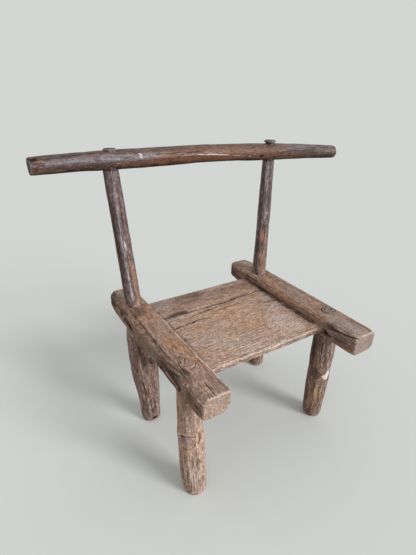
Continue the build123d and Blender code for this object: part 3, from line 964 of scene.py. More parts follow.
frontRightLeg = {
    "low": (168.0, -111.0, 0.0),
    "high": (173.0, -105.0, 271.0),
    "outline": [
        (0, 17.2, 16.4), (3, 19.4, 18.2), (9, 21.4, 19.4), (19, 22.4, 19.9), (37, 22.4, 20.3), (81, 22.8, 23.0),
        (112, 22.6, 24.3), (124, 21.9, 23.6), (132, 21.8, 24.4), (151, 22.8, 26.0), (178, 22.6, 26.6),
        (205, 21.8, 26.0), (232, 21.6, 25.2),
    ],
    "tenonTop": 272.2,
    "facets": 8,
    "phase": 12.0,
    "seed": 131,
    "wedge": {"turn": 92.0, "offset": -2.0, "half": 7.6, "thickness": 2.7},
    "work": [
        ("flake", "round", [(-226, 138), (-186, 138), (-170, 160), (-167, 200), (-168, 231), (-226, 231)],
            1.4, 3.0, {"dark": 0.5}),
        # painted shade down the left side, away from the light
        ("stain", "round", "dark", (-188, 170), (8, 70), 0.6),
        ("stain", "round", "dark", (-194, 60), (8, 70), 0.55),
        ("stain", "round", "pale", (-136, 186), (22, 56), 0.34),
        ("stain", "round", "pale", (-142, 56), (22, 56), 0.3),
        ("fineChecks", "round", (-168, 8), (-70, 70), 26, 34, 1, 1.8),
        ("fineChecks", "round", (-160, 140), (-70, 190), 20, 36, 1, 1.8),
        # an old axe cut round the waist, and the fresh chip beside it
        ("flake", "round", [(-206, 141), (-180, 138), (-138, 129.5), (-117, 123), (-134, 112), (-173, 107.5),
            (-206, 107)], 3.2, 3.2, {"dark": 0.42, "grey": 0.3}),
        ("check", "round", [(-184, 138), (-160, 134), (-138, 129), (-117, 123)], 1.7, 1.4),
        ("check", "round", [(-175, 109), (-148, 110), (-133, 113), (-117, 118)], 1.3, 1.0),
        ("flake", "round", [(-54, 142), (-72, 133), (-119, 118.5), (-102, 110.5), (-88, 106), (-62, 106),
            (-50, 120)], 2.4, 1.0, {"pale": 1.0, "dark": -1.0}),
        ("check", "round", [(-119, 119), (-96, 127), (-78, 133.5), (-60, 140)], 1.6, 1.0),
        ("stain", "round", "warm", (-146, 62), (22, 34), 0.95),
        ("stain", "round", "grey", (-104, 84), (22, 24), 0.5),
        ("stain", "round", "grey", (-66, 184), (10, 62), 0.7),
        ("stain", "round", "dark", (-88, 60), (10, 60), 0.2),
        ("stain", "round", "grey", (-112, 184), (30, 60), 0.65),
        ("check", "round", [(-266, 190), (-270, 100), (-262, 20)], 2.2, 2.4),
        ("check", "round", [(0, 220), (6, 140), (0, 60)], 1.8, 1.6),
        ("stain", "round", "grey", (-250, 150), (50, 60), 0.5),
        ("check", "round", [(-146, 206), (-140, 176), (-142, 150)], 1.8, 1.5),
        ("check", "round", [(-122, 200), (-118, 160), (-121, 134)], 1.4, 1.2),
        ("check", "round", [(-98, 190), (-96, 150)], 1.2, 1.0),
        ("check", "round", [(-124, 96), (-120, 60), (-122, 24)], 1.6, 1.4),
        ("check", "round", [(-100, 100), (-98, 64), (-101, 20)], 1.4, 1.3),
        ("check", "round", [(-150, 92), (-148, 50)], 1.2, 1.0),
        ("check", "round", [(-134, 50), (-136, 12)], 1.3, 1.1),
        ("stain", "top", "grey", (173, -105), (14, 14), 0.8),
        ("flake", "top", [(164, -98), (168, -94), (171, -98), (167, -102)], 1.8, 1.0, {"deep": 0.9}),
        ("flake", "top", [(176, -104), (180, -101), (182, -106), (178, -109)], 1.6, 1.0, {"deep": 0.8}),
        ("check", "top", [(166, -110), (172, -116), (178, -114)], 1.2, 1.2),
    ],
    "look": {"mid": tone(154, 125, 111), "dark": tone(114, 88, 76), "light": tone(174, 146, 131),
        "warm": tone(182, 148, 114), "grey": tone(148, 131, 121), "pale": tone(236, 222, 216),
        "endTone": tone(122, 108, 104), "pores": 0.75, "warmth": 0.2},
}
rearLeftLeg = {
    "low": (-162.55, 68.5, 0.0),
    "high": (-167.55, 89.0, 271.0),
    "outline": [
        (0, 16.0, 17.6), (3, 18.2, 20.8), (10, 19.4, 22.6), (24, 20.2, 23.4), (47, 21.2, 24.6), (76, 24.0, 26.0),
        (103, 27.9, 26.8), (134, 31.2, 26.8), (150, 31.8, 26.8), (176, 31.2, 27.0), (228, 31.6, 28.0),
        (232, 31.6, 28.0),
    ],
    "tenonTop": None,
    "facets": 10,
    "phase": 4.0,
    "seed": 157,
    "work": [
        # a hewn facet under the beam, with the beam's painted shadow on it
        ("flake", "round", [(-139, 210), (-133, 213), (-121, 196), (-102, 174), (-104, 163), (-119, 154),
            (-128, 164), (-136, 186)], 1.5, 1.6, {"dark": 0.6, "grey": 0.4}),
        ("flake", "round", [(-106, 172), (-84, 176), (-62, 168), (-58, 152), (-70, 156), (-84, 162), (-100, 163),
            (-112, 159)], 1.8, 1.6, {"dark": 0.5}),
        ("check", "round", [(-124, 151), (-112, 158), (-100, 162.5), (-84, 161.5), (-70, 155), (-60, 146)],
            2.0, 1.8),
        ("flake", "round", [(-206, 156), (-178, 153), (-160, 149), (-146, 145), (-140, 141), (-148, 137),
            (-170, 137), (-206, 140)], 3.0, 3.4, {"dark": 0.5}),
        ("check", "round", [(-196, 148), (-170, 145), (-150, 142)], 1.8, 1.4),
        ("check", "round", [(-140, 206), (-141, 180), (-144, 156)], 1.6, 1.3),
        ("check", "round", [(-152, 210), (-150, 170)], 1.4, 1.1),
        ("check", "round", [(-128, 108), (-125, 99), (-120, 84), (-118, 72)], 2.2, 2.0),
        ("streak", "round", "red", [(-130, 112), (-122, 90), (-116, 70)], 4.0, 0.5),
        ("fineChecks", "round", (-160, 8), (-66, 80), 22, 60, 1, 1.8),
        ("streak", "round", "pale", [(-106, 90), (-104, 50), (-104, 14)], 2.0, 0.7),
        ("streak", "round", "pale", [(-122, 100), (-119, 60), (-120, 18)], 1.8, 0.6),
        ("check", "round", [(-250, 210), (-254, 120), (-248, 40)], 2.2, 2.4),
        ("check", "round", [(-10, 200), (-6, 90)], 1.8, 1.8),
        ("stain", "round", "grey", (-262, 120), (40, 80), 0.5),
        ("check", "round", [(-103, 68), (-99, 40), (-95, 16)], 2.0, 1.8),
        ("check", "round", [(-120, 62), (-122, 40), (-124, 16)], 1.8, 1.6),
        ("check", "round", [(-137, 66), (-136, 22)], 1.8, 1.5),
        ("check", "round", [(-150, 84), (-149, 30)], 1.5, 1.2),
        ("check", "round", [(-111, 118), (-109, 80), (-110, 30)], 1.5, 1.3),
        ("check", "round", [(-90, 128), (-86, 84), (-84, 20)], 1.5, 1.3),
        ("check", "round", [(-74, 120), (-74, 70), (-76, 24)], 1.5, 1.3),
        ("check", "round", [(-62, 110), (-64, 40)], 1.3, 1.1),
        ("check", "round", [(-130, 56), (-130, 14)], 1.2, 1.0),
        ("check", "round", [(-92, 60), (-91, 14)], 1.2, 1.0),
        ("flake", "round", [(-76, 54), (-66, 52), (-60, 42), (-62, 30), (-72, 31), (-79, 42)], -2.2, 3.2,
            {"pale": 0.6}),
        ("flake", "round", [(-104, 12), (-90, 15.5), (-70, 15), (-66, 9), (-84, 6), (-102, 6)], 1.8, 1.4,
            {"deep": 0.9}),
        ("stain", "round", "warm", (-138, 160), (8, 24), 0.6),
        ("stain", "round", "pale", (-104, 60), (26, 60), 0.34),
        # painted shade on the left side, away from the light, and under the beam
        ("stain", "round", "dark", (-178, 100), (10, 80), 0.2),
        ("stain", "round", "dark", (-130, 222), (60, 12), 0.4),
    ],
    "look": {"mid": tone(154, 128, 119), "dark": tone(120, 94, 86), "light": tone(176, 151, 142),
        "warm": tone(168, 129, 106), "grey": tone(150, 132, 130), "contrast": 0.95, "warmth": 0.15,
        "seams": 0.55},
}
rearRightLeg = {
    "low": (169.0, 104.0, 0.0),
    "high": (172.5, 122.5, 271.0),
    "outline": [
        (0, 17.0, 16.8), (5, 19.8, 19.6), (30, 21.0, 21.2), (80, 23.2, 23.4), (118, 24.4, 24.6),
        (190, 24.8, 24.8), (232, 24.8, 25.0),
    ],
    "tenonTop": None,
    "facets": 8,
    "phase": 0.0,
    "seed": 181,
    "work": [
        ("check", "round", [(-120, 60), (-118, 10)], 1.8, 1.6),
        ("check", "round", [(-90, 160), (-94, 60)], 1.6, 1.4),
        ("check", "round", [(-30, 200), (-34, 120), (-30, 30)], 2.0, 2.0),
        ("check", "round", [(20, 150), (22, 40)], 1.6, 1.4),
        ("stain", "round", "pale", (-100, 20), (20, 20), 0.4),
    ],
    "look": {"mid": tone(150, 124, 112), "dark": tone(108, 84, 74), "light": tone(172, 148, 136)},
}


def alongAxis(piece, z):
    # the place, or places, on a leg's or post's axis at a height
    low, high = np.array(piece["low"]), np.array(piece["high"])
    return low + (high - low) * ((np.asarray(z, float)[..., None] - low[2]) / (high[2] - low[2]))


def roundOf(piece, reach):
    # turn about a leg's or post's own axis and height, both in mm, with the seam at its back
    def drawn(points):
        off = points - alongAxis(piece, points[..., 2])
        turns = (np.degrees(np.arctan2(off[..., 1], off[..., 0])) + 302) % 360 - 302
        perTurn = math.radians(reach)
        return np.stack((turns * perTurn, points[..., 2]), 2), (perTurn, 1.0)
    return drawn


def facetedRadius(turns, z, radius, facets, phase, seed, depth=0.962):
    # a round stick dressed down to long uneven flats
    cut = np.full(radius.shape, 1e9)
    for facet in range(facets):
        here = 2 * math.pi * facet / facets + math.radians(phase)
        spots = np.stack((z, np.full_like(z, 31.0 * facet), np.zeros_like(z)), -1)
        swing = 0.2 * wander(spots, (70, 50, 50), seed)
        flat = radius * (depth + 0.035 * wander(spots, (90, 50, 50), seed + 1))
        swept = np.cos(turns - here - swing)
        cut = np.where(swept > 0.3, np.minimum(cut, flat / np.maximum(swept, 0.3)), cut)
    return np.minimum(radius * 1.012, cut)


legShape = {
    "around": 200,               # points round a leg, and rings up to its shoulder
    "rings": 176,
    "overlap": 1.5,              # the shoulder meets the beam's hewn underside this far up
    "footWear": 50,              # the foot is worn round up to here
    "flush": 54.3,               # the top is hewn flush with the beam, this far from its inner face
    "flare": 0.35,               # and stands further out by this for each mm below the beam
    "blindTenon": 17.0,
    "hewing": [((12, 12, 46), 0.7), ((3.4, 3.4, 40), 0.42), ((6, 6, 8), 0.2)],
    "hairs": [(200, "round", (-300, 8), (50, 190), 40, 46, 1, 1.5)],
}


def legBillet(leg):
    turns, ways = circle(legShape["around"], rightward, backward)
    heights, lefts, rights = np.array(leg["outline"], float).T
    shoulder = beamBottom + legShape["overlap"]
    z = np.linspace(0, shoulder, legShape["rings"])
    middle = alongAxis(leg, z)
    leftReach = np.interp(z, heights, lefts)
    rightReach = np.interp(z, heights, rights)
    middle = middle + (rightReach - leftReach)[:, None] / 2 * acrossView
    seed = leg["seed"]
    radius = np.broadcast_to(((rightReach + leftReach) / 2)[:, None], (len(z), len(turns)))
    zz = np.broadcast_to(z[:, None], radius.shape)
    hewn = 0.3 + 0.7 * softStep(zz / legShape["footWear"])
    faceted = facetedRadius(turns[None, :], zz, radius, leg["facets"], leg["phase"], seed)
    radius = hewn * faceted + (1 - hewn) * radius * 0.99
    body = middle[:, None] + radius[..., None] * ways[None]
    side = math.copysign(1, leg["low"][0])
    under = np.clip(beamBottom - body[..., 2], 0, None)
    reach = beamGap / 2 + legShape["flush"] + under * legShape["flare"]
    body[..., 0] = side * np.minimum(side * body[..., 0], reach)
    rings = endRings(body[0], -up, 0.01, 1.5)[::-1]
    rings += list(body)
    # shoulder under the beam, and the tenon above it
    tenonTop = leg["tenonTop"] or beamBottom + legShape["blindTenon"]
    lastMiddle = alongAxis(leg, shoulder)
    for share in np.linspace(0, 1, 7)[1:]:
        rings.append(body[-1] + (lastMiddle + legTenon * ways - body[-1]) * share)
    for height in np.linspace(shoulder, tenonTop - 0.8, 20)[1:]:
        rings.append(alongAxis(leg, height) + legTenon * ways)
    rings += endRings(rings[-1], up, 0.8, 0.7)
    billet = Billet(rings, roundOf(leg, 24.0))
    height = billet.start[..., 2]
    free = (height < shoulder - 0.5) * np.clip(height / 3, 0, 1)
    billet.hew(legShape["hewing"], seed + 2, free)
    billet.refresh()
    billet.wearArrises(7, 0.4, 0.8)
    billet.endGrain(up)
    billet.endGrain(-up)
    billet.mark("worn", ..., 0.6 * softStep((3.5 - height) / 3) * (1 - billet.marks["end"]))
    billet.marks["worn"] *= height < shoulder
    billet.strew(legShape["hairs"], seed)
    billet.age(leg["work"], seed + 20)
    billet.grid[..., 2] = np.maximum(billet.grid[..., 2], 0)
    return billet


leftPost = {
    "low": (-166.55, 119.5, 271.0),
    "high": (-186.55, 142.0, 564.0),
    "outline": [                 # height, radius
        (271, 16.0), (290, 16.3), (318, 16.2), (405, 15.4), (426, 15.1), (466, 14.9), (505, 15.0),
        (542, 14.2), (570, 13.8),
    ],
    "tenon": 11.5,
    "shift": 4.0,                            # of the tenon's end to the right, over the rail
    "rise": 1.6,                             # of the tenon above the rail
    "spread": 0.0,
    "facets": 8,
    "phase": 10.0,
    "seed": 211,
    "work": [
        # painted sheen and highlight: grey and pale streaks down the facet that catches the light; the polished
        # streak lowers the roughness
        ("streak", "round", "grey", [(-111, 520), (-111, 472), (-114, 433), (-114, 386), (-110, 344), (-107, 311),
            (-110, 284)], 5.0, 1.0),
        ("streak", "round", "polished", [(-111, 520), (-114, 433), (-114, 386), (-107, 311), (-110, 274)],
            10.0, 1.0),
        ("streak", "round", "pale", [(-111, 496), (-112, 470), (-114, 430), (-114, 390)], 2.0, 0.9),
        ("streak", "round", "pale", [(-114, 400), (-112, 356), (-110, 330)], 2.0, 1.0),
        ("streak", "round", "pale", [(-110, 330), (-108, 306), (-112, 284)], 5.0, 0.85),
        ("flake", "round", [(-200, 277), (-150, 278), (-120, 276.5), (-90, 278), (-40, 277), (-40, 270),
            (-200, 270)], -0.5, 1.2, {"pale": -1.0, "warm": 0.8, "red": 0.6}),
        ("streak", "round", "dark", [(-102, 352), (-100, 330), (-99, 300)], 2.2, 0.9),
        ("flake", "round", [(-102, 415), (-90, 416), (-84, 406), (-89, 395), (-99, 396), (-105, 405)], 1.2, 0.8,
            {"warm": 1.6, "pale": 0.8, "dark": -1.0, "grey": -1.0}),
        ("streak", "round", "warm", [(-72, 372), (-68, 350), (-64, 318), (-60, 276)], 8.0, 1.1),
        ("streak", "round", "warm", [(-90, 296), (-80, 288), (-70, 276)], 6.0, 0.6),
        ("streak", "round", "red", [(-160, 530), (-160, 440), (-158, 350)], 9.0, 0.7),
        ("check", "round", [(-268, 500), (-264, 420), (-270, 340)], 1.6, 1.4),
        # painted shade on the facet turned away from the light
        ("stain", "round", "dark", (-152, 400), (6, 150), 0.6),
        ("stain", "round", "dark", (-40, 520), (8, 50), 0.5),
        ("check", "round", [(-96, 392), (-94, 340), (-92, 296)], 1.3, 1.0),
        ("check", "round", [(-128, 480), (-127, 420)], 1.1, 0.8),
        ("check", "round", [(-84, 500), (-82, 440)], 1.1, 0.8),
        ("check", "round", [(-134, 400), (-134, 330), (-136, 290)], 1.3, 1.0),
        # a chip at the foot's left, with painted shade in the gap
        ("flake", "round", [(-150, 276), (-140, 277), (-124, 275), (-124, 269), (-152, 269)], 1.6, 1.2,
            {"dark": 1.0}),
        ("flake", "round", [(-112, 275), (-104, 277), (-98, 274), (-100, 269), (-112, 269)], 1.4, 1.0,
            {"warm": 0.9}),
    ],
}
rightPost = {
    "low": (162.0, 114.0, 271.0),
    "high": (181.0, 136.0, 555.0),
    "outline": [
        (271, 16.4), (316, 16.2), (342, 15.6), (392, 14.9), (440, 14.7), (486, 14.1), (532, 13.2),
        (560, 12.6),
    ],
    "tenon": 9.5,
    "shift": 0.0,
    "rise": 6.4,
    "spread": 12.6,
    "facets": 8,
    "phase": 14.0,
    "seed": 241,
    "work": [
        # painted sheen and highlights: grey and pale streaks on the upper facets that catch the light; the
        # polished streak lowers the roughness
        ("streak", "round", "grey", [(-136, 540), (-132, 510), (-122, 480), (-118, 440), (-116, 396)], 6.0, 0.9),
        ("streak", "round", "pale", [(-124, 534), (-118, 512), (-116, 490)], 4.0, 0.62),
        ("streak", "round", "dark", [(-104, 536), (-102, 500), (-100, 470)], 2.4, 0.7),
        ("streak", "round", "dark", [(-132, 470), (-126, 440), (-126, 410)], 2.0, 0.7),
        ("streak", "round", "pale", [(-128, 500), (-122, 480), (-120, 462)], 2.4, 0.9),
        ("streak", "round", "pale", [(-126, 440), (-118, 420), (-110, 398)], 3.0, 0.75),
        ("streak", "round", "pale", [(-110, 430), (-104, 410), (-106, 390)], 2.0, 0.7),
        ("streak", "round", "pale", [(-162, 474), (-160, 448)], 2.4, 0.8),
        ("streak", "round", "polished", [(-136, 540), (-120, 470), (-112, 380)], 10.0, 0.7),
        ("fineChecks", "round", (-136, 280), (-80, 350), 14, 24, 1, 2.3),
        ("stain", "round", "warm", (-116, 366), (9, 22), 0.95),
        ("stain", "round", "warm", (-92, 346), (8, 26), 0.9),
        ("stain", "round", "warm", (-112, 312), (10, 22), 0.95),
        ("stain", "round", "warm", (-90, 290), (16, 20), 0.9),
        ("stain", "round", "pale", (-104, 352), (5, 16), 0.36),
        ("stain", "round", "pale", (-110, 312), (4, 14), 0.4),
        ("stain", "round", "dark", (-156, 340), (8, 30), 0.5),
        ("stain", "round", "dark", (-146, 296), (6, 18), 0.45),
        ("stain", "round", "dark", (-128, 346), (4, 12), 0.55),
        # painted shade down the facet turned away from the light
        ("stain", "round", "dark", (-158, 440), (5, 100), 0.45),
        ("fineChecks", "round", (-150, 290), (-70, 470), 30, 30, 1, 1.6),
        ("check", "round", [(-262, 510), (-268, 430), (-262, 350)], 1.6, 1.4),
        ("check", "round", [(-100, 524), (-94, 470), (-92, 426)], 1.5, 1.2),
        ("check", "round", [(-140, 470), (-138, 400)], 1.3, 1.0),
        ("check", "round", [(-112, 400), (-110, 340)], 1.2, 0.9),
        # a chip at the foot's left, with painted shade in the gap
        ("flake", "round", [(-156, 275), (-142, 277), (-132, 274), (-134, 269), (-156, 269)], 1.6, 1.2,
            {"dark": 1.0}),
    ],
}
# the posts' grey and pale also carry their painted sheen and highlights
postLook = {
    "dark": tone(84, 64, 58), "mid": tone(112, 90, 84), "light": tone(134, 112, 106),
    "grey": tone(150, 144, 154), "warm": tone(162, 122, 98), "red": tone(98, 66, 54),
    "pale": tone(208, 204, 214), "stain": tone(38, 26, 23), "ringTone": tone(86, 64, 57),
    "endTone": tone(84, 66, 58), "roughness": 0.48, "polish": 0.24, "specular": 0.5,
    "wear": 0.35, "warmth": 0.0, "greyness": 0.25, "contrast": 1.05,
}
backRail = {
    "left": -323.0,
    "right": 381.5,
    "bow": 2.2,
    "boreSlack": 0.15,           # round the posts' tenons, and how unevenly the mortises are bored
    "boreWander": 0.8,
    "endEdge": 2.2,              # its ends are rounded over by this
    "around": 156,               # points round it, and from one ring to the next
    "step": 2.2,
    "facets": 7,
    "phase": 0.0,
    "hewing": [((60, 20, 20), 0.6), ((22, 8, 8), 0.25), ((40, 2.6, 2.6), 0.12)],
    "hairs": [
        (300, "front", (-300, 545), (360, 574), 14, 40, 0, 1.3),
        (350, "back", (-300, 545), (360, 574), 14, 40, 0, 1.3),
        (500, "top", (-300, 130), (360, 148), 12, 40, 0, 1.3),
        (550, "under", (-300, 130), (360, 148), 12, 40, 0, 1.3),
    ],
    "widths": [                  # place along X, diameter
        (-323, 29.6), (-312, 30.4), (-280, 31.2), (-245, 31.9), (-227, 32.6), (-209, 34.6), (-190, 35.2),
        (-152, 35.3), (-133, 35.4), (-71, 35.8), (-27, 35.4), (20, 34.6), (44, 34.2), (94, 35.0),
        (120, 35.9), (147, 35.9), (181, 35.9), (203, 35.6), (232, 34.2), (262, 33.6), (293, 32.2),
        (324, 31.0), (357, 30.4), (382, 29.4),
    ],
    "kinks": [                   # place along X, how far the axis rises off the plain bow
        (-323, 0), (-240, 0), (-200, -0.4), (-130, -1.0), (-60, -0.4), (20, 0.9), (90, 0.6), (150, 0), (382, 0),
    ],
    "seed": 271,
    "work": [
        # painted sheen, polish, handling and stains, with painted shade along the top and bottom
        # painted sheen: a grey band where the left part catches the light
        ("streak", "front", "grey", [(-316, 566), (-281, 567), (-241, 569), (-207, 568.5), (-152, 568),
            (-96, 566)], 9.0, 1.0),
        ("streak", "front", "polished", [(-300, 567), (-240, 568), (-150, 567), (-60, 566)], 15.0, 1.0),
        ("streak", "front", "polished", [(-70, 566), (10, 563), (46, 560.5), (66, 557.5), (92, 555.5),
            (130, 551)], 6.0, 1.2),
        ("streak", "front", "red", [(-130, 562), (-60, 560), (0, 558), (120, 551), (210, 549)], 24.0, 1.0),
        ("streak", "front", "warm", [(-190, 556), (-140, 556), (-60, 560), (60, 558), (150, 556)], 10.0, 0.8),
        ("streak", "top", "grey", [(215, 126), (280, 126), (372, 126)], 14.0, 0.7),
        # painted shade along the rail's underside and its top edge
        ("streak", "front", "dark", [(240, 541), (300, 538), (372, 534)], 9.0, 0.85),
        ("streak", "front", "dark", [(-318, 551), (-240, 551), (-150, 550), (0, 548), (200, 540)], 9.0, 0.75),
        ("streak", "front", "dark", [(-320, 577), (-240, 579), (-120, 581)], 7.0, 0.7),
        ("stain", "front", "dark", (290, 552), (70, 10), 0.45),
        ("stain", "front", "grey", (330, 552), (50, 8), 0.5),
        # knots, the scratch, the loose splinter and the split left end
        ("flake", "front", [(-217, 575), (-211, 579), (-204, 577), (-202, 571), (-206, 565), (-213, 565),
            (-218, 569)], -0.9, 2.5, {"dark": 0.35}),
        ("streak", "front", "warm", [(-204, 578), (-211, 579.5), (-216, 575), (-217, 570), (-213, 565.5),
            (-207, 564.5)], 2.2, 1.0),
        ("check", "front", [(-213, 576), (-214.5, 571), (-211, 567.5)], 1.3, 0.9),
        ("flake", "front", [(-135, 574), (-130.5, 574.5), (-127.5, 570), (-128, 565), (-131, 564.5),
            (-133.5, 568.5)], 0.5, 0.7, {"pale": 1.0, "polished": 1.0}, 0.25),
        # painted highlight: a thin pale line along the middle, then pale flecks of sheen on the left part
        ("streak", "front", "pale", [(-14, 564.5), (12, 563), (29, 561.7), (46, 560.5), (68, 557.2)], 2.2, 1.4),
        ("streak", "front", "pale", [(60, 558), (91, 555.4), (124, 551.2)], 2.2, 0.75),
        ("streak", "front", "pale", [(-300, 566.5), (-270, 567), (-246, 568)], 4.0, 0.4),
        ("streak", "front", "pale", [(-196, 570), (-176, 570), (-160, 569)], 4.0, 0.42),
        ("flake", "front", [(141, 553), (149, 553), (154, 549), (149, 545), (143, 546.5)], 1.6, 1.2,
            {"deep": 0.9, "dark": 0.9}),
        ("flake", "front", [(-284, 558.5), (-270, 559.5), (-266, 556.5), (-272, 554), (-284, 555)], 0.8, 1.0,
            {"warm": 0.9, "pale": 0.3}),
        ("check", "front", [(-286, 555.5), (-264, 555)], 1.6, 1.2),
        ("stain", "front", "warm", (-308, 570), (6, 5), 0.5),
        ("flake", "front", [(-325, 580), (-314, 580), (-309, 576.5), (-312, 572.5), (-319, 572), (-325, 566)],
            3.4, 1.6, {"deep": 1.0}),
        ("check", "left", [(148, 573), (140, 577), (132, 574), (127, 568), (126, 560)], 3.8, 3.5),
        ("streak", "front", "pale", [(-304, 569.5), (-311, 569.5), (-316, 565), (-318.5, 559), (-319.5, 552)],
            2.0, 0.42),
        ("check", "front", [(-304, 567), (-310, 566), (-313.5, 561), (-315, 552)], 1.4, 1.2),
        ("streak", "front", "grey", [(366, 556), (369, 546), (370, 534)], 5.0, 0.9),
        ("streak", "front", "pale", [(371, 556), (373, 546), (373, 536)], 2.0, 0.6),
        ("streak", "front", "warm", [(154, 548), (200, 550.5), (260, 546.5), (330, 541.5)], 3.4, 1.2),
        ("stain", "front", "warm", (60, 560), (130, 24), 0.55),
        ("stain", "front", "warm", (-100, 556), (50, 10), 0.4),
        ("check", "front", [(-200, 560), (-150, 561), (-104, 560)], 1.1, 0.8),
        ("check", "front", [(196, 546), (260, 543), (330, 540)], 1.7, 1.3),
        ("check", "front", [(206, 556), (250, 555), (286, 552)], 1.6, 1.1),
        ("check", "front", [(280, 549), (320, 547.5), (362, 544)], 1.6, 1.2),
        ("fineChecks", "front", (180, 540), (340, 562), 20, 34, 0, 2.0),
        ("streak", "front", "dark", [(214, 551), (262, 549), (318, 546)], 3.0, 0.6),
        ("check", "top", [(-300, 134), (-240, 136), (-204, 134)], 1.3, 1.0),
        ("check", "under", [(-200, 140), (-60, 138), (60, 140)], 1.4, 1.2),
        ("check", "back", [(-260, 560), (-160, 562), (-60, 560)], 1.6, 1.6),
        ("check", "back", [(20, 562), (150, 556), (260, 548)], 1.4, 1.2),
        ("check", "right", [(134, 540), (128, 548), (126, 556)], 1.6, 1.6),
    ],
    "look": {
        "dark": tone(72, 51, 43), "mid": tone(92, 68, 58), "light": tone(110, 84, 72),
        # grey and pale also carry the painted sheen and highlight lines
        "grey": tone(112, 104, 110), "warm": tone(130, 88, 64), "red": tone(108, 70, 50),
        "pale": tone(200, 190, 194), "stain": tone(32, 22, 19), "ringTone": tone(72, 50, 41),
        "endTone": tone(88, 78, 64), "roughness": 0.52, "polish": 0.26, "specular": 0.5,
        "wear": 0.3, "warmth": 0.25, "greyness": 0.12, "pith": (0.004, 0.003, 0.0), "contrast": 0.85,
    },
}


def railMiddle(x):
    # the bowed axis at a place along X
    x = np.asarray(x, float)
    start, end = np.array(leftPost["high"]), np.array(rightPost["high"])
    share = (x - start[0]) / (end[0] - start[0])
    middle = start + (end - start) * share[..., None]
    places, rises = np.array(backRail["kinks"], float).T
    middle[..., 2] += backRail["bow"] * (1 - (2 * share - 1) ** 2) + np.interp(x, places, rises)
    return middle


def railRadius(x):
    places, widths = np.array(backRail["widths"], float).T
    return np.interp(x, places, widths) / 2


def railBillet():
    rail = backRail
    seed = rail["seed"]
    edge = rail["endEdge"]
    count = round((rail["right"] - rail["left"]) / rail["step"])
    stations = np.linspace(rail["left"] + edge, rail["right"] - edge, count)
    turns, ways = circle(rail["around"], backward, up)
    radius = np.broadcast_to(railRadius(stations)[:, None], (len(stations), len(turns)))
    xx = np.broadcast_to(stations[:, None], radius.shape)
    faceted = facetedRadius(turns[None, :], xx, radius, rail["facets"], rail["phase"], seed)
    radius = faceted * 0.4 + radius * 0.6
    body = railMiddle(stations)[:, None] + radius[..., None] * ways[None]
    billet = Billet(capped(body, rightward, (edge, 1.1), (edge, 1.1)))
    billet.hew(rail["hewing"], seed + 2)
    billet.refresh()
    billet.wearArrises(6, 0.35, 0.7)
    billet.endGrain(-rightward)
    billet.endGrain(rightward)
    billet.strew(rail["hairs"], seed)
    billet.age(rail["work"], seed + 20)
    return billet


railHalf = 17                    # about half the rail's thickness
holeBelow = 28                   # how far a mortise's line runs each way from the rail's middle
holeAbove = 32
postShape = {
    "around": 144,               # points round a post, and rings from its foot to its shoulder
    "rings": 150,
    "footTenon": 11.0,           # the lower tenon's radius and depth
    "footDepth": 15,
    "burr": 0.9,                 # swelling at the foot
    "copeGap": 0.8,              # the shoulder reaches this far into the rail's round
    "flats": 0.945,
    "hewing": [((9, 9, 50), 0.35), ((2.8, 2.8, 30), 0.22)],
    "headHewing": ((5, 5, 5), 0.5),
    "footHewing": ((4, 4, 4), 0.6),
    "hairs": [(200, "round", (-300, 290), (50, 500), 20, 50, 1, 1.3)],
}


def railHole(post):
    # the ends of the line that a post's upper tenon follows through the rail
    head = post["high"][2]
    low, high = alongAxis(post, (head - holeBelow, head + holeAbove))
    return low - rightward * post["shift"] * 0.3, high + rightward * post["shift"] * 1.5


